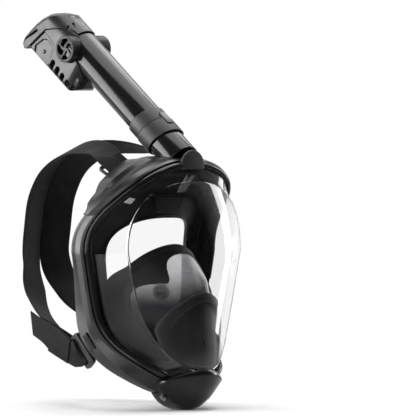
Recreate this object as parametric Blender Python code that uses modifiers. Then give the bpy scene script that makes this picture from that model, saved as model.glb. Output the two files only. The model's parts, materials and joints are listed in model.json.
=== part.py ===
"""Full face snorkelling mask.

One clear lens is held by a front frame and a side frame. A silicone skirt seals on the face and a
clear pocket with its own seal covers nose and mouth. A two-band harness goes round the head, and a
snorkel with a float-valve top pulls off a socket on the brow.

Metres, +Z up. The mask faces -Y and the wearer's right hand is on the -X side. The origin is in the
middle of the face opening.
"""

import math

import bmesh
import bpy
from mathutils import Matrix, Vector

# Clearance between neighbouring pieces.
GAP = 0.0003
FRAME_GAP = 0.0010

# Stations round the lens ring, from the top to the widest point and from there to the chin.
TOP_STEPS = 12
LOW_STEPS = 16
DENSE = 80

# Lens ring, the edge where the lens meets the frame.
RING_HALF_WIDTH = 0.086
RING_RISE = 0.087
RING_DROP = 0.133
RING_WIDEST_Z = 0.015
RING_TAPER = 0.30
RING_TOP_POWER = 2.3
RING_LOW_POWER = 7.0
RING_FRONT_Y = -0.059
RING_SIDE_Y = 0.002
RING_TOP_WRAP = 5.0
RING_LOW_WRAP = 7.0

# Lens: side wall back to the ring, a crease, and a bulged front.
LENS_WALL = 0.0022
LENS_TUCK = 0.007
CREASE_INSET = 0.006
CREASE_TOP_DROP = 0.014
CREASE_LOW_RISE = 0.008
CREASE_TAPER = 0.35
CREASE_LOW_POWER = 4.0
CREASE_TOP_Y = -0.064
CREASE_SIDE_Y = -0.048
CREASE_LOW_Y = -0.080
LENS_FRONT_Y = -0.088
LENS_CENTRE_Z = -0.012

# Front frame, the gloss ring on the lens edge, with its brow tongue.
BEZEL_LIP = 0.0034
BEZEL_WIDTH = 0.0070
BEZEL_DEPTH = 0.0117
TONGUE_HALF_WIDTH = 0.0158
TONGUE_RISE = 0.0180
TONGUE_THICK = 0.0036

# Side frame, the matt band behind the front frame.
BAND_OUT = 0.0090
BAND_WALL = 0.0025
BAND_DEPTH_TOP = 0.030
BAND_DEPTH_SIDE = 0.019
BAND_DEPTH_CHEEK = 0.034
BAND_DEPTH_CHIN = 0.020
JOWL_OUT = 0.0190
JOWL_START = 0.25
JOWL_FULL = 0.72
JOWL_END = 0.84

# Brow cover, the matt shell over the top of the frame.
BROW_STATIONS = 9
BROW_WALL = 0.0022
BROW_REAR_Y = 0.005
BROW_START = 0.0025
BROW_DIP = 0.0090

# Silicone skirt and the face opening.
SKIRT_WALL = 0.0018
SKIRT_OVERHANG = 0.003
SKIRT_ROLL = 0.006
FACE_HALF_WIDTH = 0.065
FACE_RISE = 0.045
FACE_DROP = 0.105
FACE_WIDEST_Z = 0.005
FACE_TAPER = 0.22
FACE_TOP_Y = -0.019
FACE_SIDE_Y = 0.024
FACE_LOW_Y = -0.018

# Nose and mouth pocket, its seal and the mouth cover.
POCKET_STEPS = (8, 8)
POCKET_WALL = 0.0016
POCKET_HALF_WIDTH = 0.052
POCKET_RISE = 0.046
POCKET_DROP = 0.056
POCKET_WIDEST_Z = -0.030
POCKET_TOP_Y = -0.042
POCKET_SIDE_Y = -0.012
POCKET_LOW_Y = -0.030
POCKET_SEAT = 0.0005
POCKET_CENTRE_Z = -0.055
NOSE_RISE = 0.010
NOSE_Z = -0.014
NOSE_SPREAD_X = 0.016
NOSE_SPREAD_Z = 0.012
SEAL_WALL = 0.0018
SEAL_FLARE = 0.006
SEAL_DEPTH = 0.008
COVER_WALL = 0.0018
COVER_HALF_WIDTH = 0.045
COVER_RISE = 0.040
COVER_WIDEST_Z = -0.067
COVER_FOOT = 0.010
COVER_CLEAR = 0.00085
COVER_SWEEP = 0.026

# The foot of the mouth cover stands inside the lens above its lower crease, and carries the pocket.
CREASE_LOW_Z = RING_WIDEST_Z - RING_DROP + CREASE_LOW_RISE
COVER_LOW_Z = CREASE_LOW_Z + COVER_FOOT
COVER_SHARE = (LENS_CENTRE_Z - COVER_LOW_Z) / (LENS_CENTRE_Z - CREASE_LOW_Z)
COVER_LENS_Y = LENS_FRONT_Y + (CREASE_LOW_Y - LENS_FRONT_Y) * COVER_SHARE**2
COVER_FRONT_Y = COVER_LENS_Y + LENS_WALL + COVER_CLEAR
POCKET_FRONT_Y = COVER_FRONT_Y + COVER_WALL + POCKET_SEAT

# Inhale valves on the pocket sides.
INHALE_X = 0.034
INHALE_Z = -0.026
INHALE_RADIUS = 0.0085
INHALE_BORE = 0.0060
INHALE_THICK = 0.0030
FLAP_THICK = 0.0009

# Air guide below the brow.
GUIDE_WIDTH = 0.011
GUIDE_LENGTH = 0.024
GUIDE_THICK = 0.0016

# Chin block with the purge valve.
CHIN_HALF_WIDTH = 0.040
CHIN_FRONT_Y = -0.0835
CHIN_SWEEP = 0.020
CHIN_REAR_Y = -0.026
CHIN_ABOVE = 0.011
CHIN_BELOW = 0.031
CHIN_TOP_Z = RING_WIDEST_Z - RING_DROP + CHIN_ABOVE
CHIN_TOP_FALL = 0.012
CHIN_BOTTOM_Z = RING_WIDEST_Z - RING_DROP - CHIN_BELOW
CHIN_BOTTOM_RISE = 0.026
PURGE_Y = -0.046
PURGE_RADIUS = 0.0115
SCREW_RADIUS = 0.0036
SCREW_X = 0.030
SCREW_Y = -0.050

# Snorkel socket, collars and tube, measured along the tube axis from AXIS_Y, AXIS_Z.
AXIS_Y = -0.0486
AXIS_Z = 0.1069
TUBE_LEAN = math.radians(52.85)
SEAM_TILT = math.radians(12.0)
TUBE_RADIUS = 0.0183
TUBE_WALL = 0.0020
TUBE_BORE = TUBE_RADIUS - TUBE_WALL
SPIGOT_STEP = 0.0013
SPIGOT_RADIUS = TUBE_BORE - SPIGOT_STEP
SPIGOT_BORE = SPIGOT_RADIUS - TUBE_WALL
SPIGOT_LENGTH = 0.0170
STUB_START = 0.003
COLLAR_WALL = 0.0020
COLLAR_RADIUS = TUBE_RADIUS + GAP + COLLAR_WALL
COLLAR_RISE = 0.0118
LOW_COLLAR_LENGTH = 0.0211
HIGH_COLLAR_LENGTH = 0.0173
STUB_INSET = 0.0017
COLLAR_LOW = COLLAR_RISE + COLLAR_RADIUS * (math.tan(TUBE_LEAN) - math.tan(SEAM_TILT))
COLLAR_SEAM = COLLAR_LOW + LOW_COLLAR_LENGTH
COLLAR_HIGH = COLLAR_SEAM + HIGH_COLLAR_LENGTH
STUB_END = COLLAR_SEAM - STUB_INSET
LATCH_WIDTH = 0.0085
LATCH_LENGTH = 0.0180
LATCH_THICK = 0.0018
PORT_RADIUS = 0.0070
PORT_Y = -0.0390

# Dry top: hood, cage and float housings, in the tube's own directions.
HOOD_END = 0.2595
ROOF_FALL = 0.0115
ROOF_BEND = 0.0260
HOOD_SKIRT = 0.0230
TUBE_REACH = 0.0060
CAGE_LENGTH = 0.0640
FLOAT_BELOW = 0.0048
HOOD_ROOF = HOOD_END - ROOF_FALL
HOOD_SHOULDER = HOOD_ROOF - ROOF_BEND
HOOD_START = HOOD_SHOULDER - HOOD_SKIRT
TUBE_TOP = HOOD_SHOULDER + TUBE_REACH
CAGE_START = TUBE_TOP - CAGE_LENGTH
FLOAT_AT = HOOD_START - FLOAT_BELOW
HOOD_THICK = 0.0120
HOOD_SIDE = 0.0022
HOOD_LIP = 0.0017
HOOD_CORNER = 0.0100
HOOD_OVERHANG = 0.0025
CAGE_DEPTH = 0.0207
CAGE_INSET = 0.0008
HOOD_HALF_WIDTH = TUBE_RADIUS + HOOD_SIDE
HOOD_FRONT = TUBE_RADIUS + HOOD_LIP
CAGE_BACK = TUBE_RADIUS + CAGE_DEPTH
HOOD_BACK = CAGE_BACK + HOOD_OVERHANG
CAGE_HALF_WIDTH = TUBE_RADIUS - CAGE_INSET
CAGE_SLOTS = 5
CAGE_SLOT = 0.0042
CAGE_PITCH = 0.0080
HOUSING_RADIUS = 0.0140
HOUSING_DEPTH = 0.0087
HOUSING_REACH = TUBE_RADIUS + HOUSING_DEPTH
HOUSING_WALL = 0.0016
FLOAT_RADIUS = 0.0060
FLOAT_THICK = 0.0052

# Head harness.
STRAP_THICK = 0.0020
STRAP_WIDTH = 0.0340
STRAP_TOP_WIDTH = 0.0300
STRAP_LOW_WIDTH = 0.0280
STRAP_BACK_Y = 0.1690
STRAP_TOP_Z = 0.1210
HEAD_CENTRE = Vector((0.0, STRAP_BACK_Y * 0.473, STRAP_TOP_Z * 0.083))
HEAD_RADII = Vector((STRAP_BACK_Y * 0.444, STRAP_BACK_Y * 0.562, STRAP_TOP_Z * 0.992))
LOOP_X = 0.042
LOOP_BAR = 0.0035
LOOP_DEPTH = 0.0150
CLIP_STATION = 8
CLIP_LENGTH = 0.0380
CLIP_DEPTH = 0.0170
CLIP_THICK = 0.0050
CLIP_BAR = 0.0040
CLIP_SLOT = 0.0052
CLIP_CORNER = 0.0030
WINDOW_LENGTH = 0.0200
WINDOW_DEPTH = 0.0085
TAIL_LENGTH = 0.0720


class Kit:
    """Collections and materials shared by every piece."""

    def __init__(self):
        for old in list(bpy.data.objects):
            bpy.data.objects.remove(old, do_unlink=True)
        self.parts = bpy.data.collections.new("full_face_snorkel_mask")
        self.cutters = bpy.data.collections.new("cutters")
        bpy.context.scene.collection.children.link(self.parts)
        bpy.context.scene.collection.children.link(self.cutters)
        self.gloss = material("gloss_black", (0.012, 0.012, 0.013), 0.12)
        self.matt = material("matt_grey", (0.060, 0.060, 0.066), 0.55)
        self.rubber = material("silicone_black", (0.015, 0.015, 0.016), 0.60)
        self.fabric = material("elastic_black", (0.020, 0.020, 0.022), 0.90)
        self.clear = material("clear_plastic", (0.93, 0.95, 0.96), 0.05, 1.0)
        self.frosted = material("clear_silicone", (0.85, 0.87, 0.88), 0.30, 0.8)
        self.steel = material("screw_steel", (0.45, 0.45, 0.46), 0.30)


def material(name, colour, roughness, transmission=0.0):
    made = bpy.data.materials.new(name)
    made.use_nodes = True
    shader = made.node_tree.nodes["Principled BSDF"]
    shader.inputs["Base Color"].default_value = (*colour, 1.0)
    shader.inputs["Roughness"].default_value = roughness
    shader.inputs["Transmission Weight"].default_value = transmission
    return made


def add_object(kit, name, bm, finish=None, matrix=None):
    """Make an object of a bmesh. With no finish it is a cutter."""
    mesh = bpy.data.meshes.new(name)
    bm.to_mesh(mesh)
    bm.free()
    made = bpy.data.objects.new(name, mesh)
    if matrix is not None:
        made.matrix_world = matrix
    if finish is None:
        kit.cutters.objects.link(made)
        made.hide_render = True
        made.display_type = "WIRE"
    else:
        kit.parts.objects.link(made)
        mesh.materials.append(finish)
    return made


def boolean(target, tool, operation="DIFFERENCE", solver="EXACT"):
    step = target.modifiers.new(f"{operation.lower()} {tool.name}", "BOOLEAN")
    step.operation = operation
    step.solver = solver
    step.object = tool


def solidify(target, thickness):
    step = target.modifiers.new("wall", "SOLIDIFY")
    step.thickness = thickness
    step.offset = -1.0
    step.use_even_offset = True
    step.use_quality_normals = True


def loft(loops, around=True, along=False, caps=False, tip=None, facing=None):
    """Skin a run of point loops that all have the same count.

    around closes each loop, along joins the last loop to the first, caps closes both ends with one
    face each and tip closes the last loop in a point. facing turns an open skin that way.
    """
    bm = bmesh.new()
    rows = [[bm.verts.new(point) for point in loop] for loop in loops]
    count = len(rows[0])
    pairs = list(zip(rows, rows[1:]))
    if along:
        pairs.append((rows[-1], rows[0]))
    for near, far in pairs:
        for j in range(count if around else count - 1):
            k = (j + 1) % count
            bm.faces.new((near[j], near[k], far[k], far[j]))
    if caps:
        bm.faces.new(rows[0])
        bm.faces.new(rows[-1])
    if tip is not None:
        end = bm.verts.new(tip)
        for j in range(count):
            bm.faces.new((rows[-1][j], rows[-1][(j + 1) % count], end))
    bmesh.ops.recalc_face_normals(bm, faces=bm.faces)
    if facing is None and bm.calc_volume(signed=True) < 0:
        bmesh.ops.reverse_faces(bm, faces=bm.faces)
    if facing is not None:
        bm.normal_update()
        lean = sum((face.normal * face.calc_area() for face in bm.faces), Vector())
        if lean.dot(facing) < 0:
            bmesh.ops.reverse_faces(bm, faces=bm.faces)
    return bm


def box(low, high):
    bm = bmesh.new()
    bmesh.ops.create_cube(bm, size=1.0)
    size = [b - a for a, b in zip(low, high)]
    middle = [(a + b) / 2 for a, b in zip(low, high)]
    bmesh.ops.scale(bm, vec=size, verts=bm.verts)
    bmesh.ops.translate(bm, vec=middle, verts=bm.verts)
    return bm


def soft_box(low, high, radius, segments=2):
    bm = box(low, high)
    bmesh.ops.bevel(
        bm, geom=bm.edges[:], offset=radius, segments=segments, profile=0.5, affect="EDGES"
    )
    return bm


def cylinder(radius, low, high, steps=32):
    """Cylinder on the local Z axis."""
    bm = bmesh.new()
    bmesh.ops.create_cone(
        bm, cap_ends=True, segments=steps, radius1=radius, radius2=radius, depth=high - low
    )
    bmesh.ops.translate(bm, vec=(0.0, 0.0, (low + high) / 2), verts=bm.verts)
    return bm


def prism(outline, low, high):
    """Flat outline in local X and Y, pushed out along local Z."""
    bm = bmesh.new()
    face = bm.faces.new([bm.verts.new((x, y, low)) for x, y in outline])
    pushed = bmesh.ops.extrude_face_region(bm, geom=[face])
    moved = [item for item in pushed["geom"] if isinstance(item, bmesh.types.BMVert)]
    bmesh.ops.translate(bm, vec=(0.0, 0.0, high - low), verts=moved)
    bmesh.ops.recalc_face_normals(bm, faces=bm.faces)
    return bm


def turned(kit, name, profile, finish, matrix, steps=32):
    """Profile of (radius, height) points turned about the local Z axis.

    It runs down the outside, and closes on itself unless it starts on the axis.
    """
    bm = bmesh.new()
    points = [bm.verts.new((radius, 0.0, height)) for radius, height in profile]
    ends = points[1:] if profile[0][0] == 0.0 else points[1:] + points[:1]
    for near, far in zip(points, ends):
        bm.edges.new((near, far))
    made = add_object(kit, name, bm, finish, matrix)
    screw = made.modifiers.new("turn", "SCREW")
    screw.axis = "Z"
    screw.steps = steps
    screw.render_steps = steps
    screw.use_merge_vertices = True
    screw.merge_threshold = 0.00001
    return made


def plate_ring(outer, inner, low, high):
    """Ring between two closed outlines of the same count, in local X and Y."""
    loops = [
        [Vector((x, y, low)) for x, y in outer],
        [Vector((x, y, high)) for x, y in outer],
        [Vector((x, y, high)) for x, y in inner],
        [Vector((x, y, low)) for x, y in inner],
    ]
    return loft(loops, along=True)


def rounded_rectangle(half_x, half_y, radius, steps=4):
    points = []
    for quarter, (sx, sy) in enumerate(((1, 1), (-1, 1), (-1, -1), (1, -1))):
        for k in range(steps + 1):
            turn = math.pi / 2 * (quarter + k / steps)
            points.append(
                (
                    sx * (half_x - radius) + radius * math.cos(turn),
                    sy * (half_y - radius) + radius * math.sin(turn),
                )
            )
    return points


def basis(origin, x_axis, y_axis, z_axis):
    turned_to = Matrix((x_axis, y_axis, z_axis)).transposed()
    return Matrix.Translation(origin) @ turned_to.to_4x4()


def resample(points, count):
    """Even steps along a run of points."""
    lengths = [0.0]
    for near, far in zip(points, points[1:]):
        lengths.append(lengths[-1] + (far - near).length)
    made = []
    k = 0
    for step in range(count + 1):
        goal = lengths[-1] * step / count
        while k < len(points) - 2 and lengths[k + 1] < goal:
            k += 1
        share = (goal - lengths[k]) / max(lengths[k + 1] - lengths[k], 1e-9)
        made.append(points[k].lerp(points[k + 1], share))
    return made


def egg(half_width, rise, drop, widest_z, taper, powers, ys, wraps, steps=(TOP_STEPS, LOW_STEPS)):
    """Closed egg-shaped loop about X = 0 from the top, down the +X side and up the other.

    powers are the top and bottom squareness, ys the depth at the top, the sides and the bottom, and
    wraps how late the depth changes towards the sides above and below.
    """
    top_power, low_power = powers
    top_y, side_y, low_y = ys
    upper = []
    lower = []
    for k in range(DENSE + 1):
        turn = math.pi / 2 * k / DENSE
        up = math.cos(turn)
        out = max(0.0, 1.0 - up**top_power) ** (1.0 / top_power)
        depth = top_y + (side_y - top_y) * out ** wraps[0]
        upper.append(Vector((half_width * out, depth, widest_z + rise * up)))
        down = math.sin(turn)
        out = math.sqrt(max(0.0, 1.0 - down**low_power))
        depth = low_y + (side_y - low_y) * out ** wraps[1]
        width = half_width * (1.0 - taper * down) * out
        lower.append(Vector((width, depth, widest_z - drop * down)))
    half = resample(upper, steps[0])[:-1] + resample(lower, steps[1])
    half[0].x = 0.0
    half[-1].x = 0.0
    return half + [Vector((-p.x, p.y, p.z)) for p in reversed(half[1:-1])]


def outward(loop):
    """Unit vectors in the X-Z plane that point away from the inside of a loop."""
    found = []
    count = len(loop)
    for i in range(count):
        along = loop[(i + 1) % count] - loop[i - 1]
        found.append(Vector((-along.z, 0.0, along.x)).normalized())
    found[0] = Vector((0.0, 0.0, 1.0))
    found[count // 2] = Vector((0.0, 0.0, -1.0))
    return found


class Ring:
    """The lens ring, with the offsets that every piece of the mask body is built from."""

    def __init__(self):
        self.points = egg(
            RING_HALF_WIDTH,
            RING_RISE,
            RING_DROP,
            RING_WIDEST_Z,
            RING_TAPER,
            (RING_TOP_POWER, RING_LOW_POWER),
            (RING_FRONT_Y, RING_SIDE_Y, RING_FRONT_Y),
            (RING_TOP_WRAP, RING_LOW_WRAP),
        )
        self.out = outward(self.points)
        self.count = len(self.points)
        self.crease = egg(
            RING_HALF_WIDTH - CREASE_INSET,
            RING_RISE - CREASE_TOP_DROP,
            RING_DROP - CREASE_LOW_RISE,
            RING_WIDEST_Z,
            CREASE_TAPER,
            (RING_TOP_POWER, CREASE_LOW_POWER),
            (CREASE_TOP_Y, CREASE_SIDE_Y, CREASE_LOW_Y),
            (2.0, 2.0),
        )

    def at(self, i, out, back):
        i %= self.count
        return self.points[i] + self.out[i] * out + Vector((0.0, back, 0.0))

    def loop(self, out, back):
        return [self.at(i, out, back) for i in range(self.count)]

    def band_depth(self, i):
        """Depth of the side frame behind the ring at a station."""
        i %= self.count
        i = min(i, self.count - i)
        cheek = TOP_STEPS + LOW_STEPS * 0.62
        marks = (
            (0.0, BAND_DEPTH_TOP),
            (TOP_STEPS, BAND_DEPTH_SIDE),
            (cheek, BAND_DEPTH_CHEEK),
            (TOP_STEPS + LOW_STEPS, BAND_DEPTH_CHIN),
        )
        for (low, first), (high, last) in zip(marks, marks[1:]):
            if i <= high:
                share = (i - low) / (high - low)
                return first + (last - first) * (1 - math.cos(math.pi * share)) / 2
        return BAND_DEPTH_CHIN

    def band_out(self, i):
        """Reach of the side frame outside the ring, widest beside the chin."""
        i %= self.count
        i = min(i, self.count - i)
        share = (i - TOP_STEPS) / LOW_STEPS
        rise = min(1.0, max(0.0, (share - JOWL_START) / (JOWL_FULL - JOWL_START)))
        fall = min(1.0, max(0.0, (share - JOWL_END) / (1.0 - JOWL_END)))
        swell = (1 - math.cos(math.pi * rise)) / 2 * (1 + math.cos(math.pi * fall)) / 2
        return BAND_OUT + (JOWL_OUT - BAND_OUT) * swell

    def solid(self, profile_at, stations=None):
        """Skin a closed profile of (out, back) points carried round the ring."""
        whole = stations is None
        stations = range(self.count) if whole else stations
        loops = [[self.at(i, out, back) for out, back in profile_at(i)] for i in stations]
        return loft(loops, along=whole, caps=not whole)


def polar(loop, centre, shares, depth):
    """Loops that shrink from a rim to its centre, with their depth from a function."""
    made = []
    for share in shares:
        row = []
        for rim in loop:
            x = centre.x + (rim.x - centre.x) * share
            z = centre.z + (rim.z - centre.z) * share
            row.append(Vector((x, depth(rim, share, x, z), z)))
        made.append(row)
    return made


def lens_loops(ring, grow=0.0):
    """Lens skin from its front rim backwards, grown outwards for a clearance body."""
    centre = Vector((0.0, LENS_FRONT_Y - grow, LENS_CENTRE_Z))

    def depth(rim, share, _x, _z):
        return centre.y + (rim.y - grow - centre.y) * share**2

    crease = [
        p + Vector((p.x, 0.0, p.z - LENS_CENTRE_Z)).normalized() * grow for p in ring.crease
    ]
    front = polar(crease, centre, (0.2, 0.45, 0.7, 0.9), depth)
    edge = [p.lerp(q, 0.03) for p, q in zip(crease, ring.loop(grow, 0.0))]
    edge = [p + Vector((0.0, 0.0006 - grow, 0.0)) for p in edge]
    wall = [
        [p.lerp(q, share) for p, q in zip(crease, ring.loop(grow, 0.0))] for share in (0.12, 0.55)
    ]
    return front + [edge] + wall, centre


def across_loop(loop, x, z):
    """Where the ray from the lens centre through (x, z) meets a loop, and how far out the point is."""
    best = None
    for near, far in zip(loop, loop[1:] + loop[:1]):
        edge_x, edge_z = far.x - near.x, far.z - near.z
        from_x, from_z = near.x, near.z - LENS_CENTRE_Z
        ray_x, ray_z = x, z - LENS_CENTRE_Z
        turn = ray_x * edge_z - ray_z * edge_x
        if abs(turn) < 1e-12:
            continue
        reach = (from_x * edge_z - from_z * edge_x) / turn
        along = (from_x * ray_z - from_z * ray_x) / turn
        if reach > 0 and -1e-6 <= along <= 1 + 1e-6:
            best = (near.y + (far.y - near.y) * along, 1.0 / reach)
    return best or (loop[0].y, 0.0)


def lens_depth(ring, x, z):
    """Depth of the outside of the lens at a place on its front or its side wall."""
    crease_y, share = across_loop(ring.crease, x, z)
    if share <= 1.0:
        return LENS_FRONT_Y + (crease_y - LENS_FRONT_Y) * share**2
    ring_y, reach = across_loop(ring.points, x, z)
    past = (share - 1.0) / max(share / reach - 1.0, 1e-6)
    return crease_y + (ring_y - crease_y) * min(past, 1.0)


def make_lens(kit, ring):
    loops, centre = lens_loops(ring)
    loops += [ring.loop(0.0, 0.0), ring.loop(0.0, LENS_TUCK)]
    bm = loft(loops[::-1], tip=centre, facing=Vector((0.0, -1.0, 0.0)))
    lens = add_object(kit, "lens", bm, kit.clear)
    solidify(lens, LENS_WALL)


def bezel_profile(_i):
    return (
        (GAP, -BEZEL_LIP * 0.85),
        (BEZEL_WIDTH * 0.45, -BEZEL_LIP),
        (BEZEL_WIDTH * 0.86, -BEZEL_LIP * 0.2),
        (BEZEL_WIDTH, BEZEL_DEPTH),
        (GAP, BEZEL_DEPTH),
    )


def make_front_frame(kit, ring):
    frame = add_object(kit, "front_frame", ring.solid(bezel_profile), kit.gloss)
    base = ring.points[0].z + BEZEL_WIDTH * 0.3
    outline = [
        (
            TONGUE_HALF_WIDTH * math.cos(math.pi * k / 20),
            base + (TONGUE_RISE - BEZEL_WIDTH * 0.3) * math.sin(math.pi * k / 20),
        )
        for k in range(21)
    ]
    turn = basis(
        Vector((0.0, RING_FRONT_Y - BEZEL_LIP * 0.9, 0.0)),
        Vector((1.0, 0.0, 0.0)),
        Vector((0.0, 0.0, 1.0)),
        Vector((0.0, -1.0, 0.0)),
    )
    tongue = add_object(kit, "tongue", prism(outline, -TONGUE_THICK, 0.0), None, turn)
    boolean(frame, tongue, "UNION")


def band_profile(ring, i):
    depth = ring.band_depth(i)
    start = BEZEL_DEPTH + FRAME_GAP
    reach = ring.band_out(i)
    inner = reach - BAND_WALL
    return (
        (0.0005, start),
        (reach - 0.0025, start),
        (reach - 0.0009, start + 0.003),
        (reach, depth),
        (inner, depth),
        (inner - 0.001, start + 0.003),
        (0.0005, start + 0.0025),
    )


def make_side_frame(kit, ring):
    bm = ring.solid(lambda i: band_profile(ring, i))
    frame = add_object(kit, "side_frame", bm, kit.matt)
    for side in (1, -1):
        low = Vector((-WINDOW_LENGTH / 2, -0.02, -WINDOW_DEPTH))
        high = Vector((WINDOW_LENGTH / 2, 0.02, 0.0))
        turn = clip_frame(ring, side) @ Matrix.Translation((0.0, 0.0, -0.004))
        window = add_object(kit, f"frame_window_{side}", box(low, high), None, turn)
        boolean(frame, window)
    boolean(frame, air_port(kit, "frame_port"))


def air_port(kit, name):
    turn = Matrix.Translation((0.0, PORT_Y, RING_WIDEST_Z + RING_RISE))
    return add_object(kit, name, cylinder(PORT_RADIUS, -0.02, 0.03), None, turn)


def brow_rear(ring, i):
    """Rear edge of the brow cover behind the ring."""
    return max(BROW_REAR_Y - ring.points[i % ring.count].y, BEZEL_DEPTH + FRAME_GAP + 0.0085)


def brow_rear_out(ring, i):
    """Reach of the rear edge of the brow cover, drawn in at the shoulders behind the side frame."""
    behind = brow_rear(ring, i) - ring.band_depth(i)
    room = min(1.0, max(0.0, (behind - 0.006) / 0.012))
    dip = math.sin(math.pi * abs(i) / BROW_STATIONS) ** 2
    return BAND_OUT + GAP - BROW_DIP * dip * room


def brow_profile(ring, i):
    rear = brow_rear(ring, i)
    bezel = BEZEL_WIDTH + GAP
    band = BAND_OUT + GAP
    start = BEZEL_DEPTH + FRAME_GAP
    knee = max(start + 0.0036, min(ring.band_depth(i) + 0.0015, rear - 0.0045))
    end = brow_rear_out(ring, i)
    return (
        (bezel, BROW_START),
        (bezel, start - FRAME_GAP),
        (band, start + 0.003),
        (band, knee),
        (end, rear),
        (end + BROW_WALL * 0.6, rear),
        (end + BROW_WALL, rear - 0.003),
        (band + BROW_WALL, knee),
        (band + BROW_WALL, start),
        (bezel + BROW_WALL, BROW_START + 0.0025),
        (bezel + 0.0004, BROW_START),
    )


def make_brow_cover(kit, ring):
    stations = range(-BROW_STATIONS, BROW_STATIONS + 1)
    bm = ring.solid(lambda i: brow_profile(ring, i), stations)
    cover = add_object(kit, "brow_cover", bm, kit.matt)
    boolean(cover, air_port(kit, "brow_port"), solver="MANIFOLD")


def brow_clearance(kit, ring):
    """Solid under the outside of the brow cover, grown by the gap."""

    def profile(i):
        rear = brow_rear(ring, i) + GAP
        top = BAND_OUT + BROW_WALL + 2 * GAP
        return (
            (-0.010, BROW_START - GAP),
            (-0.010, rear),
            (top, rear),
            (top, BEZEL_DEPTH + GAP),
            (BEZEL_WIDTH + BROW_WALL + 2 * GAP, BROW_START + 0.0022),
            (BEZEL_WIDTH + 3 * GAP, BROW_START - GAP),
        )

    stations = range(-5, 6)
    return add_object(kit, "brow_clearance", ring.solid(profile, stations))


def face_loop():
    return egg(
        FACE_HALF_WIDTH,
        FACE_RISE,
        FACE_DROP,
        FACE_WIDEST_Z,
        FACE_TAPER,
        (2.8, 4.0),
        (FACE_TOP_Y, FACE_SIDE_Y, FACE_LOW_Y),
        (2.5, 2.5),
    )


def make_face_skirt(kit, ring):
    inner = BAND_OUT - BAND_WALL - GAP
    start = BEZEL_DEPTH + FRAME_GAP + 0.003 + GAP
    first = ring.loop(inner - 0.001, start)
    rim = [ring.at(i, inner, ring.band_depth(i)) for i in range(ring.count)]
    over = [p + Vector((0.0, SKIRT_OVERHANG, 0.0)) for p in rim]
    lip = face_loop()
    bend = [p + Vector((0.0, SKIRT_ROLL, 0.0)) for p in over]
    loops = [first, rim, over]
    for share in (0.4, 0.8):
        rows = zip(over, bend, lip)
        loops.append([p.lerp(b, share).lerp(b.lerp(q, share), share) for p, b, q in rows])
    loops.append(lip)
    loops.append([p * 0.985 + Vector((0.0, -0.005, 0.0)) for p in lip])
    bm = loft(loops, facing=Vector((0.0, 1.0, 0.0)))
    skirt = add_object(kit, "face_skirt", bm, kit.rubber)
    solidify(skirt, SKIRT_WALL)
    boolean(skirt, air_port(kit, "skirt_port"))


def pocket_rim():
    return egg(
        POCKET_HALF_WIDTH,
        POCKET_RISE,
        POCKET_DROP,
        POCKET_WIDEST_Z,
        0.15,
        (1.9, 2.6),
        (POCKET_TOP_Y, POCKET_SIDE_Y, POCKET_LOW_Y),
        (2.0, 2.0),
        POCKET_STEPS,
    )


def pocket_depth(rim, share, x, z):
    base = POCKET_FRONT_Y + (rim.y - POCKET_FRONT_Y) * share**2.2
    spread = (x / NOSE_SPREAD_X) ** 2 + ((z - NOSE_Z) / NOSE_SPREAD_Z) ** 2
    return base - NOSE_RISE * math.exp(-spread)


def inhale_frame(side):
    """Valve axis at the pocket side, local Z out of the pocket."""
    rim = pocket_rim()
    centre = Vector((0.0, POCKET_FRONT_Y, POCKET_CENTRE_Z))

    def on_pocket(x, z):
        best = None
        for p in rim:
            ray = Vector((p.x, 0.0, p.z - centre.z))
            goal = Vector((x, 0.0, z - centre.z))
            turn = ray.angle(goal)
            if best is None or turn < best[0]:
                best = (turn, p, goal.length / ray.length)
        return Vector((x, pocket_depth(best[1], best[2], x, z), z))

    step = 0.006
    middle = on_pocket(INHALE_X, INHALE_Z)
    across = on_pocket(INHALE_X + step, INHALE_Z) - on_pocket(INHALE_X - step, INHALE_Z)
    upward = on_pocket(INHALE_X, INHALE_Z + step) - on_pocket(INHALE_X, INHALE_Z - step)
    normal = across.cross(upward).normalized()
    if normal.y > 0:
        normal.negate()
    across = (across - normal * across.dot(normal)).normalized()
    middle.x *= side
    normal.x *= side
    across.x *= side
    return basis(middle, across, normal.cross(across), normal)


def make_pocket(kit):
    rim = pocket_rim()
    centre = Vector((0.0, POCKET_FRONT_Y, POCKET_CENTRE_Z))
    loops = polar(rim, centre, (1.0, 0.82, 0.64, 0.48, 0.32, 0.16), pocket_depth)
    bm = loft(loops, tip=centre, facing=Vector((0.0, -1.0, 0.0)))
    pocket = add_object(kit, "nose_pocket", bm, kit.frosted)
    solidify(pocket, POCKET_WALL)
    for side, word in ((-1, "right"), (1, "left")):
        frame = inhale_frame(side)
        hole = add_object(
            kit, f"inhale_hole_{word}", cylinder(INHALE_RADIUS + GAP, -0.02, 0.02), None, frame
        )
        boolean(pocket, hole)
        low = -INHALE_THICK * 0.6
        high = low + INHALE_THICK
        seat = turned(
            kit,
            f"inhale_seat_{word}",
            ((INHALE_RADIUS, high), (INHALE_RADIUS, low), (INHALE_BORE, low), (INHALE_BORE, high)),
            kit.matt,
            frame,
            28,
        )
        bar = add_object(
            kit,
            f"inhale_bar_{word}",
            box((-INHALE_RADIUS + 0.001, -0.0009, low + 0.0004), (INHALE_RADIUS - 0.001, 0.0009, high)),
            None,
            frame,
        )
        boolean(seat, bar, "UNION")
        top = low - GAP
        add_object(
            kit,
            f"inhale_flap_{word}",
            cylinder(INHALE_RADIUS - 0.0008, top - FLAP_THICK, top, 28),
            kit.rubber,
            frame,
        )


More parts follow.
